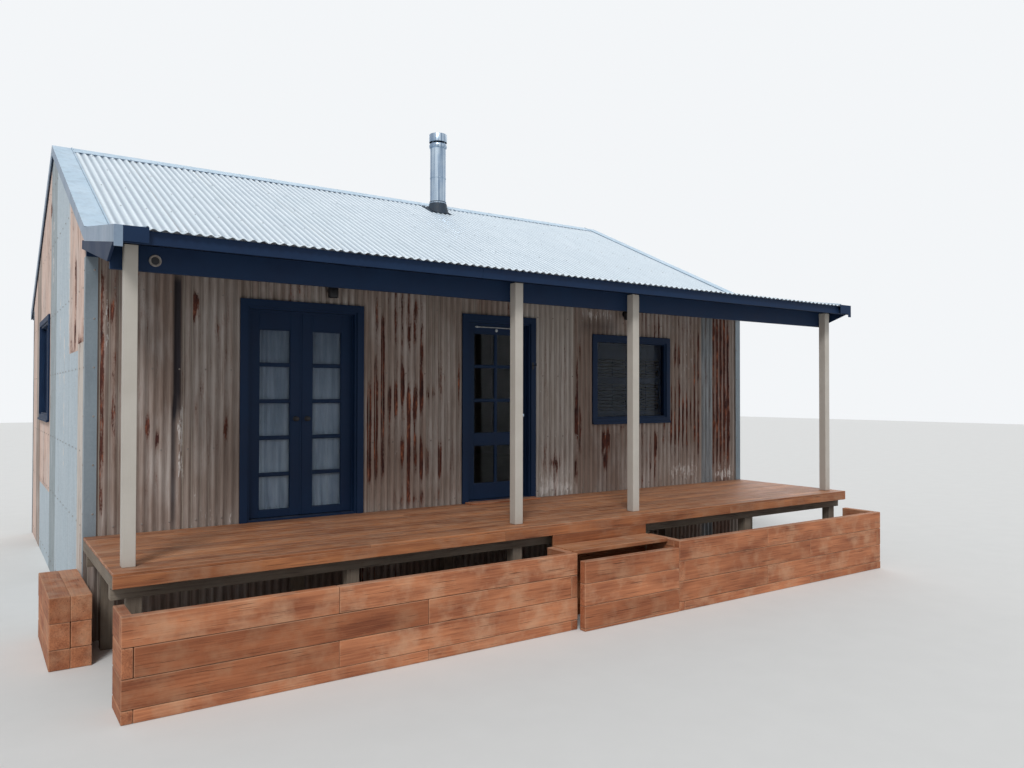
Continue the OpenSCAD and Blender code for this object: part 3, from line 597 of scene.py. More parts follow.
def wave(u, crest_at):
    """How far the iron lies below its crests at a place across the sheet."""
    return DEPTH / 2 * (1 - cos(2 * pi * (u - crest_at) / PITCH))


# How a mark fades: towards its sides over a share of its half width, towards its ends over a length
SOFT_SIDE = 0.4
SOFT_END = 0.12


def stain(marks, u, v):
    """The sum of the marks at a place, each of them (u, half width, low, high, amount)."""
    total = 0.0
    for at, half, low, high, amount in marks:
        if abs(u - at) < half and low < v < high:
            side = min(1.0, (half - abs(u - at)) / (SOFT_SIDE * half))
            fade = min(SOFT_END, (high - low) / 3)
            end = min(1.0, (v - low) / fade, (high - v) / fade)
            total += amount * side * end
    return total


# The grid's columns to a wave, the reach of rust from the ends of a sheet, and how much more rust
# there is at them and in some lanes
COLUMNS_PER_WAVE = 8
END_REACH = 0.14
END_RUST = 0.05
LANE_RUST = 0.07


def corrugated(length, sheets, row_height, dent, crest_at=0.0, stains=()):
    """Lapped sheets, u across and v along, crests at w = 0. Each sheet has a number of corrugations
    and tiers of (low end, high end, finish), the lowest first. Stains are marks by their kind."""
    shape = bmesh.new()
    place_layer = shape.verts.layers.float_vector.new("sheet")
    coat_layer = shape.verts.layers.float_color.new("coat")
    layers = {name: shape.verts.layers.float.new(name)
              for name in ("rust", "zinc", "hollow", "pale", "grime")}
    marks = {"rust": (), "pale": (), "grime": (), **dict(stains)}
    start = 0.0
    for number, (count, tiers) in enumerate(sheets):
        width = count * PITCH
        first = max(0.0, start - PITCH / 4)
        last = min(length, start + width + PITCH / 4)
        columns = max(2, round((last - first) / PITCH * COLUMNS_PER_WAVE))
        for tier, (low, high, finish) in enumerate(tiers):
            kind = FINISHES[finish]
            under = LAP_LIFT * (len(tiers) - 1 - tier)
            for vert, across, up in grid_places(shape, columns, max(1, round((high - low) / row_height))):
                u = first + across * (last - first)
                v = low + up * (high - low)
                share = min(1.0, max(0.0, (u - start) / width))
                swell = 0.5 + 0.5 * noise.noise(Vector((u * 2.3, v * 1.7, number * 3.1 + tier)))
                hollow = wave(u, crest_at)
                lane = noise.noise(Vector((round(u / PITCH - 0.5) * 1.37, v * 1.1, number * 1.7)))
                end = max(0.0, 1 - min(v - low, high - v) / END_REACH)
                vert[place_layer] = Vector((u, v, number * 2.7 + tier * 1.3))
                vert[coat_layer] = kind["coat"]
                vert[layers["rust"]] = (kind["rust"] + LANE_RUST * lane + END_RUST * end
                                        + kind["valley"] * (hollow / DEPTH - 0.5)
                                        + stain(marks["rust"], u, v))
                vert[layers["pale"]] = stain(marks["pale"], u, v)
                vert[layers["grime"]] = stain(marks["grime"], u, v)
                vert[layers["zinc"]] = kind["zinc"]
                vert[layers["hollow"]] = hollow / DEPTH
                vert.co = (u, v, -hollow - LAP_LIFT * (1 - share) - under - dent * swell)
        start += width
    return rounded_shading(shape, radians(80))


def cut(shape, point, direction, clear=False):
    """Cuts a shape along a plane, and clears what lies on the side that the direction points to."""
    geometry = shape.verts[:] + shape.edges[:] + shape.faces[:]
    bmesh.ops.bisect_plane(shape, geom=geometry, dist=1e-5, plane_co=point, plane_no=direction,
                           clear_outer=clear)


def cut_opening(shape, u0, u1, v0, v1):
    """Cuts a rectangular opening in a sheet."""
    for u in (u0, u1):
        cut(shape, (u, 0, 0), (1, 0, 0))
    for v in (v0, v1):
        cut(shape, (0, v, 0), (0, 1, 0))
    centres = ((face, face.calc_center_median()) for face in shape.faces)
    inside = [face for face, centre in centres if u0 < centre.x < u1 and v0 < centre.y < v1]
    bmesh.ops.delete(shape, geom=inside, context="FACES")


# Openings inside the trims, as (low, high, bottom, top), and the places of the sheets round the hut
TRIM = 0.062
SILL_DROP = 0.005


def opening(node, axis, is_door):
    """The opening inside a node's trim, along the axis of its wall."""
    low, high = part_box(node)
    bottom = FLOOR if is_door else low.z + TRIM + SILL_DROP
    return low[axis] + TRIM, high[axis] - TRIM, bottom, high.z - TRIM


FRENCH = opening("french_frame", 0, True)
ENTRY = opening("entry_frame", 0, True)
WINDOW = opening("front_window", 0, False)
GABLE = opening("gable_window", 1, False)

# The same openings as (u0, u1, v0, v1) of their sheets
front_holes = [(x0 - LEFT, x1 - LEFT, z0, z1) for x0, x1, z0, z1 in (FRENCH, ENTRY, WINDOW)]
gable_hole = (CORE_REAR - GABLE[1], CORE_REAR - GABLE[0], GABLE[2], GABLE[3])

FRONT_PLACE = axes((1, 0, 0), (0, 0, 1), (0, -1, 0), (LEFT, FRONT, 0))
REAR_PLACE = axes((-1, 0, 0), (0, 0, 1), (0, 1, 0), (RIGHT, REAR, 0))
LEFT_PLACE = axes((0, -1, 0), (0, 0, 1), (-1, 0, 0), (LEFT, CORE_REAR, 0))
RIGHT_PLACE = axes((0, 1, 0), (0, 0, 1), (1, 0, 0), (RIGHT, CORE_FRONT, 0))
roof_cos, roof_sin = cos(ROOF_SLOPE), sin(ROOF_SLOPE)
porch_cos, porch_sin = cos(VERANDAH_SLOPE), sin(VERANDAH_SLOPE)
ROOF_FRONT_PLACE = axes((1, 0, 0), (0, roof_cos, roof_sin), (0, -roof_sin, roof_cos),
                        (LEFT, roof_low.y, main_z(roof_low.y)))
ROOF_REAR_PLACE = axes((-1, 0, 0), (0, -roof_cos, roof_sin), (0, roof_sin, roof_cos),
                       (RIGHT, rear_roof_low, main_z(rear_roof_low)))
PORCH_PLACE = axes((1, 0, 0), (0, porch_cos, porch_sin), (0, -porch_sin, porch_cos),
                   (LEFT, porch_low.y, porch_z(porch_low.y)))
ROOF_FRONT_RUN = (MIDDLE - RIDGE_GAP - roof_low.y) / roof_cos
ROOF_REAR_RUN = (rear_roof_low - MIDDLE - RIDGE_GAP) / roof_cos
PORCH_RUN = (PORCH_TOP_Y - porch_low.y) / porch_cos


def full_height(top, *sheets):
    """Sheets that run from the ground to a height in one length."""
    return [(count, [(0.0, top, finish)]) for count, finish in sheets]


def old_wall(name, node, iron, place):
    """A wall of old iron in place of its node."""
    iron.transform(place)
    new_piece(name, iron, OLD_IRON, "old_iron", replaces=[node], solid=IRON)


front_sheets = full_height(
    CLAD_TOP, (10, "brown"), (8, "ash"), (8, "brown"), (7, "ash"), (10, "streaked"), (8, "ash"),
    (9, "brown"), (10, "white"), (10, "brown"), (10, "streaked"), (10, "streaked"), (3, "dark_zinc"),
    (5, "rusty"), (3, "ash"))


# Half the width of the rust in a valley
VALLEY_HALF = 0.03


def in_valleys(amount, *runs):
    """Rust that has run down single valleys, from (number of the valley, low end, high end)."""
    return [((number + 0.5) * PITCH, VALLEY_HALF, low, high, amount) for number, low, high in runs]


front_stains = {
    "rust": [
        (0.135, 0.022, 1.0, 3.28, 0.18), (0.19, 0.024, 2.68, 3.0, 0.26), (0.228, 0.024, 1.4, 3.3, 0.16),
        (0.9, 0.036, 2.78, 3.12, 0.26), (0.912, 0.02, 1.69, 2.1, 0.2), (1.17, 0.024, 1.68, 1.88, 0.22),
        (0.502, 0.02, 1.6, 2.0, 0.14), (0.582, 0.02, 1.6, 1.78, 0.24), (2.69, 0.13, 1.15, 2.55, 0.04),
        (2.95, 0.36, 2.6, 3.16, 0.03), (3.25, 0.36, 0.9, 1.1, 0.1), (3.72, 0.026, 1.85, 2.8, 0.12),
        (5.0, 0.25, 1.16, 1.45, 0.05), (5.44, 0.05, 2.5, 2.76, 0.26), (5.414, 0.026, 1.9, 2.6, 0.22),
        (5.428, 0.07, 1.62, 2.02, 0.24), (5.437, 0.045, 1.38, 1.64, 0.22), (5.403, 0.034, 0.95, 1.42, 0.2),
        (5.722, 0.034, 1.56, 1.74, 0.26), (5.888, 0.09, 1.36, 1.76, 0.24), (5.879, 0.045, 1.1, 1.42, 0.22),
        (6.168, 0.045, 1.58, 1.76, 0.22), (6.765, 0.034, 1.32, 1.66, 0.22), (6.927, 0.03, 1.54, 1.76, 0.2),
        (7.15, 0.09, 2.36, 2.88, 0.16), (8.07, 0.2, 1.55, 3.2, 0.06),
        *in_valleys(0.15, (34, 1.2, 2.35), (35, 1.15, 2.5), (36, 1.2, 3.0), (40, 1.0, 2.22),
                    (42, 1.85, 2.75), (45, 2.05, 2.75)),
        *in_valleys(0.18, (37, 1.88, 2.27), (38, 1.86, 2.3), (39, 2.03, 2.48), (39, 1.3, 1.7),
                    (41, 1.82, 2.18), (41, 1.18, 1.64), (42, 1.18, 1.66), (43, 2.0, 2.18),
                    (43, 1.18, 1.6), (44, 2.02, 2.28), (45, 1.18, 1.6)),
        *in_valleys(0.13, (92, 1.5, 2.35), (93, 1.4, 2.3), (94, 1.45, 2.4), (95, 1.4, 2.2),
                    (96, 1.3, 2.25), (97, 1.55, 2.15), (98, 1.4, 3.1), (99, 1.3, 3.15)),
        *in_valleys(0.1, (103, 1.0, 3.2), (104, 1.2, 3.2), (105, 1.1, 3.2), (106, 1.25, 3.2),
                    (107, 1.1, 3.2))],
    "pale": [
        (0.168, 0.02, 2.42, 3.04, 0.2), (0.78, 0.035, 1.3, 2.1, 0.22), (1.05, 0.26, 0.97, 1.12, 0.2),
        (2.9, 0.1, 1.35, 1.92, 0.05), (5.07, 0.34, 0.86, 1.2, 0.3), (4.98, 0.24, 1.2, 2.4, 0.06),
        (5.752, 0.34, 3.07, 3.24, 0.2), (7.35, 0.18, 2.24, 3.1, 0.1), (7.29, 0.34, 0.92, 1.28, 0.22),
        (8.11, 0.24, 0.88, 1.18, 0.28)],
    "grime": [
        (0.745, 0.04, 1.9, 3.3, 1.0), (0.715, 0.025, 0.9, 2.1, 0.7), (5.752, 0.36, 2.92, 3.1, 0.4)]}
front_iron = corrugated(LENGTH, front_sheets, row_height=0.14, dent=0.0015, stains=front_stains)
for hole in front_holes:
    cut_opening(front_iron, *hole)
old_wall("front_wall_iron", "front_cladding", front_iron, FRONT_PLACE)

rear_sheets = full_height(
    CLAD_TOP, (10, "galvanised"), (10, "beige"), (10, "streaked"), (10, "pink"), (10, "rusty"),
    (10, "beige"), (10, "galvanised"), (10, "brown"), (10, "streaked"), (10, "white"), (11, "rusty"))
rear_stains = {
    "rust": [(2.1, 0.08, 0.6, 3.0, 0.16), (5.6, 0.06, 0.3, 2.2, 0.18), (7.3, 0.12, 1.4, 3.2, 0.12)],
    "pale": [(3.4, 0.3, 0.3, 1.2, 0.12)]}
rear_iron = corrugated(LENGTH, rear_sheets, row_height=0.25, dent=0.0015, stains=rear_stains)
old_wall("rear_wall_iron", "rear_cladding", rear_iron, REAR_PLACE)

# Gables: the tops of their lower tiers, the lap of the upper ones, and the gap under the roof iron
GABLE_LENGTH = CORE_REAR - CORE_FRONT
PEAK = main_z(MIDDLE)
LOW_TIER = 1.0
HALF_TIER = 2.0
HIGH_TIER = 2.66
TIER_LAP = 0.08
ROOF_CLEAR = 0.0003


def under_roof(shape, ridge_u):
    """Cuts a gable's sheets along the underside of the roof iron."""
    gap = (DEPTH + FRAME_IRON) / roof_cos + ROOF_CLEAR
    for way in (-1, 1):
        cut(shape, (ridge_u, PEAK - gap, 0), (way * roof_sin, roof_cos, 0), clear=True)


left_sheets = (
    full_height(PEAK, (9, "pink"), (9, "streaked"))
    + [(count, [(0.0, LOW_TIER, "galvanised"), (LOW_TIER - TIER_LAP, PEAK, "pink")]) for count in (10, 11)]
    + full_height(PEAK, (10, "dull"), (10, "galvanised"), (9, "galvanised"))
    + [(10, [(0.0, HIGH_TIER, "galvanised"), (HIGH_TIER - TIER_LAP - 0.06, PEAK, "pink")]),
       (9, [(0.0, HIGH_TIER, "beige"), (HIGH_TIER - TIER_LAP, PEAK, "pink")])])
left_stains = {
    "rust": [
        (5.78, 0.1, 2.56, 3.5, 0.17), (5.8, 0.72, 2.5, 2.72, 0.12), (5.45, 0.05, 2.6, 4.0, 0.06),
        (6.25, 0.06, 2.6, 3.2, 0.08), (3.03, 0.1, 4.2, 4.48, 0.2), (2.6, 0.1, 2.4, 4.2, 0.06),
        (1.4, 0.08, 0.8, 3.2, 0.12), (6.45, 0.06, 0.9, 1.1, 0.14)],
    "pale": [
        (5.18, 0.08, 2.5, 4.4, 0.28), (4.72, 0.08, 1.2, 2.9, 0.22), (4.3, 0.05, 1.8, 3.6, 0.16),
        (3.35, 0.1, 3.2, 4.4, 0.2)]}
left_iron = corrugated(GABLE_LENGTH, left_sheets, row_height=0.18, dent=0.002, stains=left_stains)
under_roof(left_iron, CORE_REAR - MIDDLE)
cut_opening(left_iron, *gable_hole)
old_wall("left_gable_iron", "left_gable_cladding", left_iron, LEFT_PLACE)

right_pairs = (
    (10, "beige", "rusty"), (10, "galvanised", "galvanised"), (10, "pink", "streaked"),
    (10, "rusty", "pink"), (10, "white", "beige"), (9, "galvanised", "brown"),
    (9, "streaked", "rusty"), (9, "beige", "pink"), (10, "pink", "beige"))
right_sheets = [(count, [(0.0, HALF_TIER, lower), (HALF_TIER - TIER_LAP, PEAK, upper)])
                for count, lower, upper in right_pairs]
right_stains = {
    "rust": [(1.7, 0.06, 0.4, 1.9, 0.2), (4.6, 0.08, 2.0, 3.6, 0.2)],
    "pale": [(3.0, 0.2, 0.6, 1.5, 0.14)]}
right_iron = corrugated(GABLE_LENGTH, right_sheets, row_height=0.25, dent=0.002, stains=right_stains)
under_roof(right_iron, MIDDLE - CORE_FRONT)
old_wall("right_gable_iron", "right_gable_cladding", right_iron, RIGHT_PLACE)

ROOF_COUNTS = [10] * 11 + [1]
for name, node, place, run, crest_at in (
        ("front_roof_iron", "roof_iron_front", ROOF_FRONT_PLACE, ROOF_FRONT_RUN, 0.0),
        ("rear_roof_iron", "roof_iron_rear", ROOF_REAR_PLACE, ROOF_REAR_RUN, LENGTH),
        ("verandah_roof_iron", "verandah_iron", PORCH_PLACE, PORCH_RUN, 0.0)):
    sheets = full_height(run, *((count, "new") for count in ROOF_COUNTS))
    roof = corrugated(LENGTH, sheets, row_height=0.4, dent=0.0012, crest_at=crest_at)
    roof.transform(place)
    new_piece(name, roof, NEW_IRON, "new_iron", replaces=[node], solid=IRON)


# Screws and nails through the crests, standing along w, and how far they stay off what ends the iron
HEAD_SUNK = 0.0012
END_CLEAR = 0.02
HOLE_CLEAR = 0.1
SLOPE_CLEAR = 0.16


def screw_template():
    """A hexagon head on its round washer."""
    washer = turned([(0.0, 0.0), (0.0085, 0.0), (0.0078, 0.002), (0.0, 0.0022)], steps=10)
    head = turned([(0.0, 0.002), (0.0055, 0.002), (0.005, 0.006), (0.0, 0.0066)], steps=6)
    return joined([washer, head])


def nail_template():
    """The low dome of a nail."""
    return turned([(0.0, 0.0), (0.009, 0.0), (0.0075, 0.0022), (0.004, 0.0036), (0.0, 0.004)], steps=10)


def crest_places(place, length, rows, every, keep, crest_at=0.0):
    """Places on the crests, along rows of v, where keep(u, v) is true."""
    for row, v in enumerate(rows):
        for number in range(1, int(length / PITCH)):
            u = number * PITCH + crest_at % PITCH
            if (number + row) % every == 0 and u < length - END_CLEAR and keep(u, v):
                yield place @ Matrix.Translation((u, v, -HEAD_SUNK))


def keep_inside(length, edge, holes=(), ridge_u=None):
    """A test that keeps screws off the ends, the openings (u0, u1, v0, v1) and a gable's slope."""
    def keep(u, v):
        if not edge < u < length - edge:
            return False
        if ridge_u is not None and v > PEAK - SLOPE_CLEAR - tan(ROOF_SLOPE) * abs(u - ridge_u):
            return False
        return not any(u0 - HOLE_CLEAR < u < u1 + HOLE_CLEAR and v0 - HOLE_CLEAR < v < v1 + HOLE_CLEAR
                       for u0, u1, v0, v1 in holes)
    return keep


WALL_EDGE = 0.2
GABLE_EDGE = 0.16
ROOF_EDGE = 0.24
wall_rows = (0.14, 0.97, 1.62, 2.35, 3.05)
gable_rows = wall_rows + (3.9, 4.6)
nails = [
    *crest_places(FRONT_PLACE, LENGTH, wall_rows[1:], 3, keep_inside(LENGTH, WALL_EDGE, front_holes)),
    *crest_places(REAR_PLACE, LENGTH, wall_rows, 4, keep_inside(LENGTH, WALL_EDGE)),
    *crest_places(LEFT_PLACE, GABLE_LENGTH, gable_rows, 4,
                  keep_inside(GABLE_LENGTH, GABLE_EDGE, [gable_hole], CORE_REAR - MIDDLE)),
    *crest_places(RIGHT_PLACE, GABLE_LENGTH, gable_rows, 4,
                  keep_inside(GABLE_LENGTH, GABLE_EDGE, (), MIDDLE - CORE_FRONT))]
new_piece("wall_nails", scattered(nail_template(), nails), NAIL, "old_iron")
off_barges = keep_inside(LENGTH, ROOF_EDGE)
roof_screws = [
    *crest_places(ROOF_FRONT_PLACE, LENGTH, (0.12, 0.95, 1.8, 2.65, ROOF_FRONT_RUN - 0.3), 3, off_barges),
    *crest_places(ROOF_REAR_PLACE, LENGTH, (0.12, 1.0, 1.9, 2.8, ROOF_REAR_RUN - 0.3), 3, off_barges,
                  LENGTH),
    *crest_places(PORCH_PLACE, LENGTH, (0.09, 0.85, PORCH_RUN - 0.14), 3, off_barges)]
new_piece("roof_screws", scattered(screw_template(), roof_screws), SCREW, "new_iron")

# Ridge capping in lapped lengths, each with turned-down lips
capping_low, capping_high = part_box("ridge_capping")
barge_low, barge_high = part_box("barge_cappings")
RIDGE_WING = (capping_high.y - capping_low.y) / 2
RIDGE_LENGTHS = 4
RIDGE_LAP = 0.03
ROLL = 0.012
ROLL_DROP = 0.0045
LIP = 0.009


def wing(way):
    """One wing of the ridge capping and its lip, as (distance from the ridge, height)."""
    height = main_z(MIDDLE + way * RIDGE_WING) + SEAT
    return [(way * (RIDGE_WING - 0.001), height - LIP), (way * RIDGE_WING, height)]


ridge_step = (capping_high.x - capping_low.x) / RIDGE_LENGTHS
ridge_top = main_z(MIDDLE) + SEAT
ridge_line = [*wing(-1), (-ROLL, ridge_top - ROLL_DROP), (0.0, ridge_top + 0.001),
              (ROLL, ridge_top - ROLL_DROP), *wing(1)[::-1]]
ridge_parts = []
for number in range(RIDGE_LENGTHS):
    x0 = capping_low.x + number * ridge_step - (RIDGE_LAP if number else 0.0)
    x1 = capping_low.x + (number + 1) * ridge_step
    lift = LAP_LIFT * (number % 2)
    outline = [(x0, MIDDLE + out, height + lift) for out, height in ridge_line]
    ridge_parts.append(facing(folded(outline, [(x1 - x0, 0, 0)]), (0, 0, 1)))
new_piece("ridge_cap", joined(ridge_parts), FLASHING, "new_iron", replaces=["ridge_capping"],
          solid=-FRAME_IRON)

# Barge cappings, with a double fold where they meet the iron and a turned-in lower edge
BARGE_IN = capping_low.x
BARGE_OUT = barge_low.x
BARGE_DROP = 0.12
barge_path = [(porch_low.y, porch_z(porch_low.y)), (roof_low.y, porch_z(roof_low.y)),
              (roof_low.y, main_z(roof_low.y)), (MIDDLE, PEAK), (barge_high.y, main_z(barge_high.y))]
barge_profile = [(BARGE_OUT + 0.012, -BARGE_DROP + 0.004), (BARGE_OUT + 0.0005, -BARGE_DROP),
                 (BARGE_OUT + 0.0005, SEAT), (BARGE_IN - 0.022, SEAT), (BARGE_IN - 0.018, SEAT + 0.009),
                 (BARGE_IN - 0.009, SEAT + 0.011), (BARGE_IN - 0.003, SEAT + 0.006), (BARGE_IN, SEAT - 0.004)]
barge_steps = [(0, y1 - y0, z1 - z0) for (y0, z0), (y1, z1) in zip(barge_path, barge_path[1:])]


def as_is(x):
    """The place itself, at the left end of the hut."""
    return x


def mirrored(x):
    """The same place from the other end of the hut."""
    return LEFT + RIGHT - x


def barge(place_x, outward):
    """The capping of one end, which looks outward and up."""
    outline = [(place_x(x), barge_path[0][0], barge_path[0][1] + up) for x, up in barge_profile]
    return facing(folded(outline, barge_steps), (outward, 0, 1))


barges = joined([barge(as_is, -1), barge(mirrored, 1)])
new_piece("barge_caps", barges, FLASHING, "new_iron", replaces=["barge_cappings"], solid=FRAME_IRON)

# At the verandah's eave the left capping returns round the corner, and navy closers fill the rest
EAVE_Z = porch_z(porch_low.y)
RETURN_W = 0.057
RETURN_DROP = 0.147
CLOSER_DROP = 0.108
END_SHEET = 0.004
SHEET_GAP = 0.0002
returns = []
closers = []
for place_x, corner_parts in ((as_is, returns), (mirrored, closers)):
    y0, y1 = porch_low.y - END_SHEET, porch_low.y - SHEET_GAP
    for parts, near, far, drop in ((corner_parts, BARGE_OUT, BARGE_OUT + RETURN_W, RETURN_DROP),
                                   (closers, BARGE_OUT + RETURN_W, BARGE_IN, CLOSER_DROP)):
        x0, x1 = sorted((place_x(near), place_x(far)))
        parts.append(board((x0, y0, EAVE_Z - drop), (x1, y1, EAVE_Z + SEAT), ease=0.0005))
new_piece("barge_returns", joined(returns), FLASHING, "new_iron")
new_piece("eave_closers", joined(closers), NAVY, "navy_paint")

# Nails down the corner flashings and screws along both wings of the ridge
CORNER_NAIL = 0.07
CORNER_ROWS = [0.25 + number * 0.42 for number in range(8)]
FLASHING_T = 0.002
RIDGE_SPACES = 26
RIDGE_SCREW_IN = 0.03
RIDGE_SCREW_UP = 0.003
front_turn = axes((1, 0, 0), (0, 0, 1), (0, -1, 0))
corner_nails = []
for side, corner_x in ((1, LEFT - FLASHING_T), (-1, RIGHT + FLASHING_T)):
    side_turn = axes((0, -side, 0), (0, 0, 1), (-side, 0, 0))
    for z in CORNER_ROWS:
        for y in (FRONT + CORNER_NAIL, REAR - CORNER_NAIL):
            corner_nails.append(Matrix.Translation((corner_x, y, z)) @ side_turn)
        if z > FLOOR:
            front_place = (corner_x + side * CORNER_NAIL, FRONT - FLASHING_T, z)
            corner_nails.append(Matrix.Translation(front_place) @ front_turn)
new_piece("corner_nails", scattered(nail_template(), corner_nails), NAIL, "old_iron")
ridge_screws = []
for number in range(1, RIDGE_SPACES):
    x = capping_low.x + number * (capping_high.x - capping_low.x) / RIDGE_SPACES
    for way in (-1, 1):
        y = MIDDLE + way * (RIDGE_WING - RIDGE_SCREW_IN)
        slope = Matrix.Rotation(-way * ROOF_SLOPE, 4, "X")
        ridge_screws.append(Matrix.Translation((x, y, main_z(y) + RIDGE_SCREW_UP)) @ slope)
new_piece("ridge_screws", scattered(screw_template(), ridge_screws), SCREW, "new_iron")

# Verandah timbers, each board with its tone from a seeded hand
hand = Random("timbers")
post_low, post_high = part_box("verandah_posts")
POST = 0.09
POST_IN = 0.08
ENTRY_BAY = 1.41
POST_LEFTS = [LEFT + POST_IN, LEFT + (LENGTH - ENTRY_BAY) / 2 - POST, LEFT + (LENGTH + ENTRY_BAY) / 2,
              RIGHT - POST_IN - POST]

# How far the square tops of post, beam and fascia lie below the frame's sloping ones, the open joint
# between two lengths, and the joints' places along the fascia and, as shares, along the deck's edge
POST_TRIM = 0.018
BEAM_TRIM = 0.0075
FASCIA_TRIM = 0.004
OPEN_JOINT = 0.0008
FASCIA_JOINT = 2.943
EDGE_JOINTS = (0.38, 0.74)
posts = [board((x, post_low.y, post_low.z), (x + POST, post_high.y, post_high.z - POST_TRIM),
               hand.random(), 0.004, segments=2) for x in POST_LEFTS]
new_piece("posts", joined(posts), CREAM, "cream_paint", replaces=["verandah_posts"])


def long_boards(name, node, joints, finish, slot, trim=0.0):
    """A node's long board in lengths that meet at the joints, with its top trimmed."""
    low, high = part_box(node)
    ends = [LEFT, *joints, RIGHT]
    parts = [board((x0, low.y, low.z), (x1 - OPEN_JOINT, high.y, high.z - trim), hand.random(), 0.003)
             for x0, x1 in zip(ends, ends[1:])]
    new_piece(name, joined(parts), finish, slot, replaces=[node])


over_posts = [x + POST / 2 for x in POST_LEFTS[1:3]]
long_boards("beam", "verandah_beam", over_posts, NAVY, "navy_paint", BEAM_TRIM)
long_boards("eave_fascia", "verandah_fascia", [LEFT + FASCIA_JOINT], NAVY, "navy_paint", FASCIA_TRIM)
long_boards("deck_edge", "deck_fascia", [LEFT + share * LENGTH for share in EDGE_JOINTS], DECKING,
            "deck_timber")

# Deck boards, with their joints over the joists
deck_low, deck_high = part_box("deck")
DECK_ROWS = 18
DECK_GAP = 0.004
JOIST_SPACES = 18
JOIST_W = 0.045
JOINT_HALF = 0.001
UNEVEN = 0.0012
row_depth = (deck_high.y - deck_low.y) / DECK_ROWS
joist_step = (LENGTH - JOIST_W) / JOIST_SPACES
deck_parts = []
for row in range(DECK_ROWS):
    y0 = deck_low.y + row * row_depth + (DECK_GAP if row else 0.0)
    y1 = deck_low.y + (row + 1) * row_depth
    joints = [0, 4 + (row * 5) % 7, 11 + (row * 3) % 5, JOIST_SPACES]
    for start, end in zip(joints, joints[1:]):
        x0 = LEFT + start * joist_step + JOIST_W / 2 + JOINT_HALF if start else LEFT
        x1 = LEFT + end * joist_step + JOIST_W / 2 - JOINT_HALF if end < JOIST_SPACES else RIGHT
        top = deck_high.z - hand.uniform(0.0, UNEVEN)
        deck_parts.append(board((x0, y0, deck_low.z), (x1, y1, top), hand.random(), 0.003))
new_piece("deck_boards", joined(deck_parts), DECKING, "deck_timber", replaces=["deck"])

# Sleepers in courses, whose joints lie left and right of a bed's middle by turns
SLEEPER_H = 0.2
SLEEPER_T = 0.075
JOINT_SHIFTS = (-0.4, 0.35)
ROUGHNESS = 0.0025


def course_heights(top):
    """Courses from the top down, the last one cut by the ground."""
    while top > 0.001:
        yield max(0.0, top - SLEEPER_H), top
        top -= SLEEPER_H


def sleeper(low, high):
    """A rough sleeper a little smaller than its place."""
    shrink = Vector([hand.uniform(0.0, ROUGHNESS) for _ in range(3)])
    return board(Vector(low) + shrink, Vector(high) - shrink, hand.random(), 0.006, segments=2)


def bed(node):
    """The sleepers of a planter, lapped at their corners course by course."""
    low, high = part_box(node)
    parts = []
    for course, (z0, z1) in enumerate(course_heights(high.z)):
        lap = SLEEPER_T * (course % 2)
        middle = (low.x + high.x) / 2 + JOINT_SHIFTS[course % 2]
        for x0, x1 in ((low.x + lap, middle), (middle, high.x - lap)):
            parts.append(sleeper((x0, low.y, z0), (x1, low.y + SLEEPER_T, z1)))
        for x0 in (low.x, high.x - SLEEPER_T):
            parts.append(sleeper((x0, low.y + SLEEPER_T - lap, z0), (x0 + SLEEPER_T, high.y, z1)))
    return parts


def stack(node, count):
    """Courses of sleepers side by side that fill a node's box."""
    low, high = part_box(node)
    width = (high.x - low.x) / count
    return [sleeper((low.x + number * width, low.y, z0), (low.x + (number + 1) * width, high.y, z1))
            for z0, z1 in course_heights(high.z) for number in range(count)]


for name, node, parts in (("left_bed", "planter_left", bed("planter_left")),
                          ("right_bed", "planter_right", bed("planter_right")),
                          ("front_edging", "front_sleepers", stack("front_sleepers", 1)),
                          ("end_step", "side_step", stack("side_step", 2))):
    new_piece(name, joined(parts), SLEEPER, "sleeper_timber", replaces=[node])

# The tread's two boards and the boards of its riser
low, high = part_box("step")
TREAD_T = 0.04
TREAD_DROP = 0.2
TREAD_GAP = 0.005
RISER_BOARDS = ((0.0, 0.3), (0.302, 0.55), (0.552, high.z))
tread_z = FLOOR - TREAD_DROP
tread_depth = (deck_low.y - low.y) / 2
parts = []
for y0 in (low.y, low.y + tread_depth):
    parts.append(board((low.x, y0, tread_z - TREAD_T), (high.x, y0 + tread_depth - TREAD_GAP, tread_z),
                       hand.random(), 0.004))
for z0, z1 in RISER_BOARDS:
    parts.append(board((low.x, deck_low.y, z0), (high.x, high.y, z1), hand.random(), 0.002))
new_piece("tread_boards", joined(parts), DECKING, "deck_timber", replaces=["step"])

# Door leaves, with how far rails, upright bars, level bars and beads are set in from a leaf's face
LEAF = 0.04
STILE = 0.108
BAR = 0.026
BEAD = 0.007
BEAD_T = 0.01
RAIL_IN = 0.0008
UPRIGHT_IN = 0.004
LEVEL_IN = 0.0045
BEAD_IN = 0.007
HINGE_W = 0.02
HINGE_H = 0.09
HINGE_T = 0.0025
HINGE_IN = 0.004
HINGE_END = 0.18
LOCK_LOW = FLOOR + 0.64
LOCK_TOP = LOCK_LOW + 0.14


def beads(x0, x1, y, z0, z1):
    """Glazing beads round one pane, in front of the glass."""
    back = y + BEAD_T
    return [board(a, b, ease=0.002) for a, b in (
        ((x0, y, z0), (x1, back, z0 + BEAD)), ((x0, y, z1 - BEAD), (x1, back, z1)),
        ((x0, y, z0 + BEAD), (x0 + BEAD, back, z1 - BEAD)),
        ((x1 - BEAD, y, z0 + BEAD), (x1, back, z1 - BEAD)))]


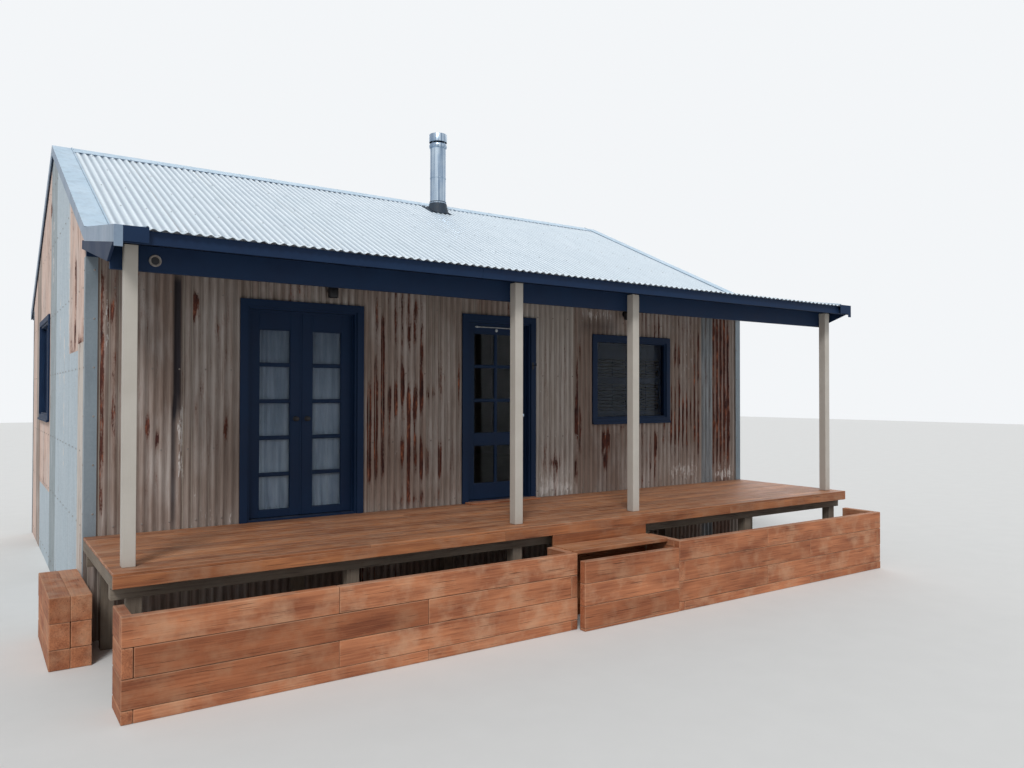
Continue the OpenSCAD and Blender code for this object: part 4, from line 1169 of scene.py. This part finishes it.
def leaf_parts(x0, x1, y0, z0, z1, fields, rails):
    """Stiles, rails, glazing bars and beads of a leaf. Fields are (low, top, columns, rows) of glass."""
    y1 = y0 + LEAF
    inner0, inner1 = x0 + STILE, x1 - STILE
    parts = [board((x0, y0, z0), (inner0, y1, z1), hand.random(), 0.003),
             board((inner1, y0, z0), (x1, y1, z1), hand.random(), 0.003)]

    def between(low_x, low_z, high_x, high_z, inset, ease):
        """A member between the stiles, set in from both faces of the leaf."""
        parts.append(board((low_x, y0 + inset, low_z), (high_x, y1 - inset, high_z), hand.random(), ease))

    for low, top in rails:
        between(inner0, low, inner1, top, RAIL_IN, 0.002)
    for low, top, columns, rows in fields:
        width = (inner1 - inner0 - (columns - 1) * BAR) / columns
        height = (top - low - (rows - 1) * BAR) / rows
        lefts = [inner0 + column * (width + BAR) for column in range(columns)]
        bottoms = [low + row * (height + BAR) for row in range(rows)]
        for x in lefts[1:]:
            between(x - BAR, low, x, top, UPRIGHT_IN, 0.005)
        for z in bottoms[1:]:
            between(inner0, z - BAR, inner1, z, LEVEL_IN, 0.005)
        for x in lefts:
            for z in bottoms:
                parts += beads(x, x + width, y0 + BEAD_IN, z, z + height)
    return parts


def gaps(rails):
    """The open heights between rails, from below, as (low, high)."""
    return [(below[1], above[0]) for below, above in zip(rails, rails[1:])]


def leaf(node, body, foot, head, panes, lock=(), hinge_at_left=True):
    """A leaf and the wings of its three hinges, with the heights of its foot, head and lock rails and
    the (columns, rows) of panes between them, from below. Gives back its box as (x0, x1, y0, z0, z1)."""
    low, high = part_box(node)
    x0, x1, y0, z0, z1 = low.x, high.x, low.y, low.z, high.z
    rails = [(z0, z0 + foot), *lock, (z1 - head, z1)]
    fields = [(*gap, *counts) for gap, counts in zip(gaps(rails), panes)]
    parts = leaf_parts(x0, x1, y0, z0, z1, fields[::-1], rails)
    new_piece(node + "_boards", joined(parts), NAVY, "navy_paint", body, replaces=[node])
    near = x0 + HINGE_IN if hinge_at_left else x1 - HINGE_IN - HINGE_W
    places = (z0 + HINGE_END, (z0 + z1 - HINGE_H) / 2, z1 - HINGE_END - HINGE_H)
    wings = [board((near, y0 + LEAF, z), (near + HINGE_W, y0 + LEAF + HINGE_T, z + HINGE_H), ease=0.0006)
             for z in places]
    new_piece(node + "_hinges", joined(wings), BLACK, "black_metal", body)
    return x0, x1, y0, z0, z1


FRENCH_LEAF = dict(foot=0.07, head=0.18, panes=[(1, 5)])
ENTRY_LEAF = dict(foot=0.18, head=0.11, panes=[(2, 1), (2, 3)], lock=[(LOCK_LOW, LOCK_TOP)])
french_left = leaf("french_leaf_left", "french_door_left", **FRENCH_LEAF)
french_right = leaf("french_leaf_right", "french_door_right", **FRENCH_LEAF, hinge_at_left=False)
entry = leaf("entry_leaf", "entry_door", **ENTRY_LEAF)

# A strip on the left leaf, over the gap where the French doors meet
STRIP_ON = 0.014
STRIP_OVER = 0.005
STRIP_T = 0.004
STRIP_END = 0.004
x1, y0, z0, z1 = french_left[1:]
strip = board((x1 - STRIP_ON, y0 - STRIP_T, z0 + STRIP_END), (x1 + STRIP_OVER, y0, z1 - STRIP_END),
              ease=0.0015)
new_piece("meeting_strip", strip, NAVY, "navy_paint", "french_door_left")

KNOB = [(0.0, 0.0), (0.026, 0.0), (0.026, 0.003), (0.022, 0.006), (0.010, 0.007), (0.0085, 0.012),
        (0.0085, 0.030), (0.014, 0.034), (0.021, 0.037), (0.023, 0.043), (0.0215, 0.049), (0.015, 0.052),
        (0.0, 0.053)]
for node, body, finish, slot in (("french_knob_left", "french_door_left", BLACK, "black_metal"),
                                 ("french_knob_right", "french_door_right", BLACK, "black_metal"),
                                 ("entry_handle", "entry_door", STEEL, "stainless")):
    low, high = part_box(node)
    knob = to_front(turned(KNOB, 32), (low.x + high.x) / 2, high.y, (low.z + high.z) / 2)
    new_piece(node + "_turned", knob, finish, slot, body, replaces=[node])


# Curtains, with how far they stay off the leaf's edges, back, foot and head
FOLDS = 7
FOLD_DEPTH = 0.007
CURTAIN_SIDE = 0.07
CURTAIN_BACK = 0.012
CURTAIN_FOOT = 0.03
CURTAIN_HEAD = 0.12


def curtain(name, body, x0, x1, y, z0, z1):
    """A thin curtain hung behind the glass in soft folds."""
    shape = bmesh.new()
    for vert, across, up in grid_places(shape, FOLDS * 12, 24):
        fold = sin(across * FOLDS * 2 * pi + 0.7 * sin(up * 3.0)) * (0.55 + 0.45 * sin(across * 5.0 + up))
        vert.co = (x0 + across * (x1 - x0), y + FOLD_DEPTH * fold, z0 + up * (z1 - z0))
    facing(shape, (0, -1, 0))
    area = sum(face.calc_area() for face in shape.faces)
    for face in shape.faces:
        face.smooth = True
    piece = new_piece(name, shape, CLOTH, "wall_lining", body)


for name, body, (x0, x1, y0, z0, z1) in (("left_curtain", "french_door_left", french_left),
                                         ("right_curtain", "french_door_right", french_right)):
    curtain(name, body, x0 + CURTAIN_SIDE, x1 - CURTAIN_SIDE, y0 + LEAF + CURTAIN_BACK,
            z0 + CURTAIN_FOOT, z1 - CURTAIN_HEAD)

# Shutters behind the glass of the front window: stiles, rails, two fields of slats and a rod
JAMB = 0.03
SHUTTER_GAP = 0.002
SHUTTER_STILE = 0.045
SHUTTER_T = 0.03
SHUTTER_BACK = 0.062
RAIL_SET = 0.001
SLAT_W = 0.048
SLAT_T = 0.007
SLAT_TILT = Matrix.Rotation(radians(42), 4, "X")
ROD_HALF = 0.006
ROD_T = 0.01
ROD_END = 0.01
shutter_y = FRONT + SHUTTER_BACK
shutter_low = WINDOW[2] + JAMB + SHUTTER_GAP
shutter_high = WINDOW[3] - JAMB - SHUTTER_GAP
SHUTTER_RAILS = ((shutter_low, FLOOR + 1.02), (FLOOR + 1.365, FLOOR + 1.455),
                 (FLOOR + 1.68, shutter_high))
SLAT_COUNTS = (8, 5)
panel_w = (WINDOW[1] - WINDOW[0] - 2 * JAMB - 4 * SHUTTER_GAP) / 2
shutter_parts = []
for number in range(2):
    x0 = WINDOW[0] + JAMB + SHUTTER_GAP + number * (panel_w + 2 * SHUTTER_GAP)
    x1 = x0 + panel_w
    inner0, inner1 = x0 + SHUTTER_STILE, x1 - SHUTTER_STILE
    for a, b in ((x0, inner0), (inner1, x1)):
        shutter_parts.append(board((a, shutter_y, shutter_low), (b, shutter_y + SHUTTER_T, shutter_high)))
    for a, b in SHUTTER_RAILS:
        shutter_parts.append(board((inner0, shutter_y + RAIL_SET, a),
                                   (inner1, shutter_y + SHUTTER_T - RAIL_SET, b)))
    for (low, high), count in zip(gaps(SHUTTER_RAILS), SLAT_COUNTS):
        for step in range(count):
            slat = board((inner0 + SHUTTER_GAP, -SLAT_W / 2, -SLAT_T / 2),
                         (inner1 - SHUTTER_GAP, SLAT_W / 2, SLAT_T / 2), ease=0.003, segments=2)
            z = low + (step + 0.5) * (high - low) / count
            slat.transform(Matrix.Translation((0, shutter_y + SHUTTER_T / 2, z)) @ SLAT_TILT)
            shutter_parts.append(slat)
        rod_x = (x0 + x1) / 2
        rod_y = shutter_y - SHUTTER_GAP
        shutter_parts.append(board((rod_x - ROD_HALF, rod_y - ROD_T, low + ROD_END),
                                   (rod_x + ROD_HALF, rod_y, high - ROD_END)))
new_piece("window_shutters", joined(shutter_parts), SHUTTER, "navy_paint")

# Flue: pipe with a lapped joint, ring and band on a cross of strips
flue_low, flue_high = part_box("flue_pipe")
cowl_low, cowl_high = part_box("flue_cowl")
fx, fy = (flue_low.x + flue_high.x) / 2, (flue_low.y + flue_high.y) / 2
pipe_r = (flue_high.x - flue_low.x) / 2
cowl_r = (cowl_high.x - cowl_low.x) / 2
pipe_low, pipe_top, cap_z = flue_low.z, flue_high.z, cowl_high.z
JOINT_SHARE = 0.45
SEAM_ANGLE = radians(70)
CROSS_ANGLE = 0.4
RING_H = 0.084
RING_GAP = 0.016
RING_STEPS = 8
RING_SEAT = 0.004


def on_flue(shape, angle=0.0):
    """Moves a shape made round the origin to the flue's axis, turned by an angle."""
    shape.transform(Matrix.Translation((fx, fy, 0)) @ Matrix.Rotation(angle, 4, "Z"))
    return shape


joint_z = pipe_low + (pipe_top - pipe_low) * JOINT_SHARE
pipe = [(pipe_r, pipe_low), (pipe_r, joint_z), (pipe_r + 0.004, joint_z + 0.004),
        (pipe_r + 0.004, joint_z + 0.018), (pipe_r, joint_z + 0.022), (pipe_r, pipe_top),
        (pipe_r - 0.003, pipe_top), (pipe_r - 0.003, pipe_low), (pipe_r, pipe_low)]
seam = board((-0.004, -pipe_r - 0.0016, pipe_low), (0.004, -pipe_r + 0.002, pipe_top - 0.05), ease=0.001)
tube = joined([turned(pipe, 64, (fx, fy, 0)), on_flue(seam, SEAM_ANGLE)])
new_piece("flue_tube", tube, STEEL, "stainless", replaces=["flue_pipe"])
ring_low = cowl_low.z
ring_top = ring_low + RING_H
band_low = ring_top + RING_GAP
bulge = cowl_r - pipe_r - RING_SEAT
ring = [(pipe_r, ring_low)]
for step in range(1, RING_STEPS):
    share = step / RING_STEPS
    ring.append((pipe_r + RING_SEAT + bulge * sin(pi * share), ring_low + RING_H * share))
ring += [(pipe_r, ring_top), (pipe_r, ring_low)]
band = [(0.0, cap_z), (cowl_r - 0.03, cap_z - 0.002), (cowl_r - 0.004, cap_z - 0.006),
        (cowl_r, cap_z - 0.012), (cowl_r, band_low + 0.004), (cowl_r - 0.003, band_low),
        (cowl_r - 0.006, band_low + 0.004), (cowl_r - 0.006, cap_z - 0.03), (0.0, cap_z - 0.03)]
cap_parts = [turned(ring, 64, (fx, fy, 0)), turned(band, 64, (fx, fy, 0))]
for angle in (CROSS_ANGLE, CROSS_ANGLE + pi / 2):
    strip = board((-cowl_r + 0.008, -0.003, ring_top - 0.03), (cowl_r - 0.008, 0.003, band_low + 0.05),
                  ease=0.0006)
    cap_parts.append(on_flue(strip, angle))
new_piece("flue_cap", joined(cap_parts), STEEL, "stainless", replaces=["flue_cowl"])

# The rubber boot in steps, its clamp, and its plate pressed over the corrugations
boot_low, boot_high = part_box("flue_boot")
boot_r = (boot_high.x - boot_low.x) / 2
boot_h = boot_high.z - boot_low.z
BOOT_STEPS = 5
STEP_OUT = 0.006
CLAMP_DROP = 0.028
CLAMP_H = 0.014
PLATE_T = 0.003
boot_profile = []
for step in range(BOOT_STEPS + 1):
    share = step / BOOT_STEPS
    radius = boot_r + (pipe_r + 0.002 - boot_r) * share
    boot_profile += [(radius + STEP_OUT, boot_low.z + boot_h * share),
                     (radius, boot_low.z + boot_h * min(1.0, share + 0.06))]
boot_profile += [(pipe_r, boot_high.z), (pipe_r, boot_low.z), (boot_r, boot_low.z)]
boot = turned(boot_profile, 56, (fx, fy, 0))
cut(boot, (fx, fy, main_z(fy)), (0, roof_sin, -roof_cos), clear=True)
new_piece("flue_rubber", boot, RUBBER, "flue_boot", replaces=["flue_boot"])
clamp_in, clamp_out = pipe_r + 0.001, pipe_r + 0.0125
clamp_z = boot_high.z - CLAMP_DROP
clamp = [(clamp_in, clamp_z), (clamp_out, clamp_z), (clamp_out, clamp_z + CLAMP_H),
         (clamp_in, clamp_z + CLAMP_H), (clamp_in, clamp_z)]
new_piece("flue_clamp", turned(clamp, 48, (fx, fy, 0)), STEEL, "stainless")
plate = bmesh.new()
plate_size = 2 * (boot_r + 0.02)
for vert, across, up in grid_places(plate, 44, 10):
    x = fx + (across - 0.5) * plate_size
    v = (up - 0.5) * plate_size
    lift = PLATE_T - wave(x - LEFT, 0.0)
    vert.co = (x, fy + v * roof_cos - lift * roof_sin, main_z(fy) + v * roof_sin + lift * roof_cos)
facing(plate, (0, 0, 1))
new_piece("flue_plate", rounded_shading(plate), RUBBER, "flue_boot", solid=PLATE_T)

# Barrel lights on the wall
light_low, light_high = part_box("wall_lights")
LIGHT_R = 0.05
light_z0, light_z1 = light_low.z, light_high.z
BARREL = [(0.0, light_z1), (0.03, light_z1 - 0.001), (0.044, light_z1 - 0.008), (LIGHT_R, light_z1 - 0.02),
          (LIGHT_R, light_z0 + 0.006), (0.047, light_z0), (0.042, light_z0 + 0.002),
          (0.04, light_z0 + 0.03), (0.0, light_z0 + 0.032)]
BACKPLATE = [(0.0, 0.0), (0.036, 0.0), (0.036, 0.006), (0.03, 0.01), (0.016, 0.012), (0.012, 0.03),
             (0.0, 0.03)]
for number, x in enumerate((light_low.x + LIGHT_R, light_high.x - LIGHT_R)):
    barrel = turned(BARREL, 36, (x, light_low.y + LIGHT_R, 0))
    backplate = to_front(turned(BACKPLATE, 28), x, light_high.y, (light_z0 + light_z1) / 2)
    new_piece(f"wall_light_{number}", joined([barrel, backplate]), BLACK, "black_metal",
              replaces=["wall_lights"] if number == 0 else ())

# Small fittings: a ring on the beam, a hook on the entry's trim, a bar on the entry door and its
# sill. Places along the front are from the hut's left end, and those with a height are from the floor
beam_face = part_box("verandah_beam")[0].y
trim_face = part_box("entry_frame")[0].y
RING_AT = 0.297, 2.193
RING = [(0.028, 0.0), (0.0435, 0.0), (0.0435, 0.008), (0.040, 0.013), (0.034, 0.013), (0.028, 0.006),
        (0.028, 0.0)]
PLUG = [(0.0, 0.0), (0.0275, 0.0), (0.0275, 0.004), (0.0, 0.004)]
HOOK_AT = 4.714, 1.566
HOOK_OUT = 0.07
BAR_FROM = 3.96
BAR_LENGTH = 0.51
BAR_DROP = 0.035
BAR_OUT = 0.012
FEET_AT = 3.98, 4.44
BUTTON_AT = 4.257
BUTTON_DROP = 0.032
BUTTON = [(0.0, 0.0), (0.018, 0.0), (0.016, 0.008), (0.0, 0.012)]
SILL_PAST = 0.03
SILL_OUT = 0.16
SILL_T = 0.018
for name, profile, finish in (("beam_ring", RING, NAIL), ("beam_plug", PLUG, BLACK)):
    fitting = to_front(turned(profile, 32), LEFT + RING_AT[0], beam_face, FLOOR + RING_AT[1])
    new_piece(name, fitting, finish, "black_metal")
hook = joined(board(a, b, ease=0.001) for a, b in (
    ((-0.014, -0.004, -0.04), (0.014, 0.0, 0.04)), ((-0.004, -HOOK_OUT, -0.004), (0.004, -0.004, 0.004)),
    ((-0.004, -HOOK_OUT, 0.004), (0.004, 0.008 - HOOK_OUT, 0.03))))
hook.transform(Matrix.Translation((LEFT + HOOK_AT[0], trim_face, FLOOR + HOOK_AT[1])))
new_piece("trim_hook", hook, BLACK, "black_metal")
door_y = entry[2]
bar_z = entry[4] - BAR_DROP
bar = turned([(0.0, 0.0), (0.006, 0.0), (0.006, BAR_LENGTH), (0.0, BAR_LENGTH)], 16)
bar_place = Matrix.Translation((LEFT + BAR_FROM, door_y - BAR_OUT, bar_z))
bar.transform(bar_place @ Matrix.Rotation(pi / 2, 4, "Y"))
feet = [board((LEFT + x, door_y - 0.018, bar_z - 0.01), (LEFT + x + 0.012, door_y, bar_z + 0.01),
              ease=0.001) for x in FEET_AT]
button = to_front(turned(BUTTON, 20), LEFT + BUTTON_AT, door_y, bar_z - BUTTON_DROP)
new_piece("door_bar", joined([bar, button, *feet]), SCREW, "stainless", "entry_door")
sill = board((ENTRY[0] - SILL_PAST, FRONT - SILL_OUT, FLOOR),
             (ENTRY[1] + SILL_PAST, trim_face - 0.001, FLOOR + SILL_T), 0.2)
new_piece("entry_sill", sill, SLEEPER, "sleeper_timber")

# Finishes of the nodes that stay, and the ones whose arrises are softened after a weld
CARRIED = {
    LINING: ["front_base_wall", "front_wall_left", "front_wall_middle", "front_wall_right",
             "french_lintel", "entry_lintel", "rear_wall", "left_gable_wall", "right_gable_wall",
             "roof_panel_front", "roof_panel_rear"],
    CORNER: ["corner_flashings"],
    NAVY_CAD: ["barge_boards", "rear_fascia", "verandah_rafters", "verandah_ledger",
               "verandah_lining", "verandah_end_boards", "french_frame", "entry_frame",
               "front_window", "gable_window"],
    GLASS: ["french_glass_left", "french_glass_right", "entry_glass", "window_panes"],
    STUMP: ["stumps"],
    JOIST: ["deck_joists"],
    BEARER: ["deck_bearers", "inner_floor"],
}
SOFTENED = {"verandah_end_boards", "french_frame", "entry_frame", "front_window", "gable_window",
            "verandah_ledger"}
WELD = 0.0001
EASE = 0.0025
for finish, nodes in CARRIED.items():
    for node in nodes:
        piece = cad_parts[node]
        if piece.material_slots:
            for slot in piece.material_slots:
                slot.material = finish
        else:
            piece.data.materials.append(finish)
        if node in SOFTENED:
            weld = piece.modifiers.new("weld", "WELD")
            weld.merge_threshold = WELD
            ease = piece.modifiers.new("ease", "BEVEL")
            ease.width = EASE
            ease.segments = 1
            ease.limit_method = "ANGLE"
            ease.angle_limit = radians(40)

# Floor, light and camera
studio = bmesh.new()
bmesh.ops.create_grid(studio, x_segments=1, y_segments=1, size=60.0)
floor_mesh = bpy.data.meshes.new("studio_floor")
studio.to_mesh(floor_mesh)
studio.free()
floor_piece = bpy.data.objects.new("studio_floor", floor_mesh)
bpy.context.scene.collection.objects.link(floor_piece)
graph = Finish("studio_floor")
speckle = graph.noise(graph.object_place(), 3.0)
floor_colour = graph.mix(speckle, srgb(222, 222, 220), srgb(228, 228, 226))
floor_mesh.materials.append(graph.done(floor_colour, 0.95))

world = bpy.data.worlds.new("studio")
bpy.context.scene.world = world
world.use_nodes = True
graph = Graph(world.node_tree)
world.node_tree.nodes.clear()


def sky(colour, strength):
    """A plain background of one colour."""
    return graph.add("ShaderNodeBackground", {"Color": colour, "Strength": strength}).outputs[0]


# A soft sky lights the hut, and a paler one is seen past it, in it and through its glass
rays = graph.add("ShaderNodeLightPath").outputs
mirrored_ray = graph.maths("MAXIMUM", rays["Is Glossy Ray"], rays["Is Transmission Ray"])
seen = graph.maths("MAXIMUM", rays["Is Camera Ray"], mirrored_ray)
soft = sky((0.93, 0.96, 1.0, 1.0), 0.45)
pale = sky((0.9, 0.92, 0.94, 1.0), 1.0)
blend = graph.add("ShaderNodeMixShader", {"Fac": seen})
graph.tree.links.new(soft, blend.inputs[1])
graph.tree.links.new(pale, blend.inputs[2])
graph.add("ShaderNodeOutputWorld", {"Surface": blend.outputs[0]})

for name, strength, spread, way in (("key", 1.7, 15.0, (0.75, 1.0, -1.3)),
                                    ("fill", 0.5, 60.0, (-0.6, -0.7, -0.6))):
    lamp = bpy.data.lights.new(name, "SUN")
    lamp.energy = strength
    lamp.angle = radians(spread)
    light = bpy.data.objects.new(name, lamp)
    bpy.context.scene.collection.objects.link(light)
    light.rotation_euler = Vector(way).to_track_quat("-Z", "Y").to_euler()

CAMERA_PLACE = (-4.898, -10.05, 2.117)
HEADING = radians(34.40)
CLIMB = radians(0.813)
LEAN = radians(0.091)
SENSOR = 36.0
FOCAL_PIXELS = 792.3
IMAGE_WIDTH = 1024
lens = bpy.data.cameras.new("photo_camera")
lens.sensor_width = SENSOR
lens.lens = FOCAL_PIXELS / IMAGE_WIDTH * SENSOR
camera = bpy.data.objects.new("photo_camera", lens)
bpy.context.scene.collection.objects.link(camera)
heading = Matrix.Rotation(-HEADING, 4, "Z")
level = Matrix.Rotation(pi / 2 + CLIMB, 4, "X")
lean = Matrix.Rotation(LEAN, 4, "Z")
camera.matrix_world = Matrix.Translation(CAMERA_PLACE) @ heading @ level @ lean
bpy.context.scene.camera = camera
bpy.context.scene.view_settings.view_transform = "Standard"
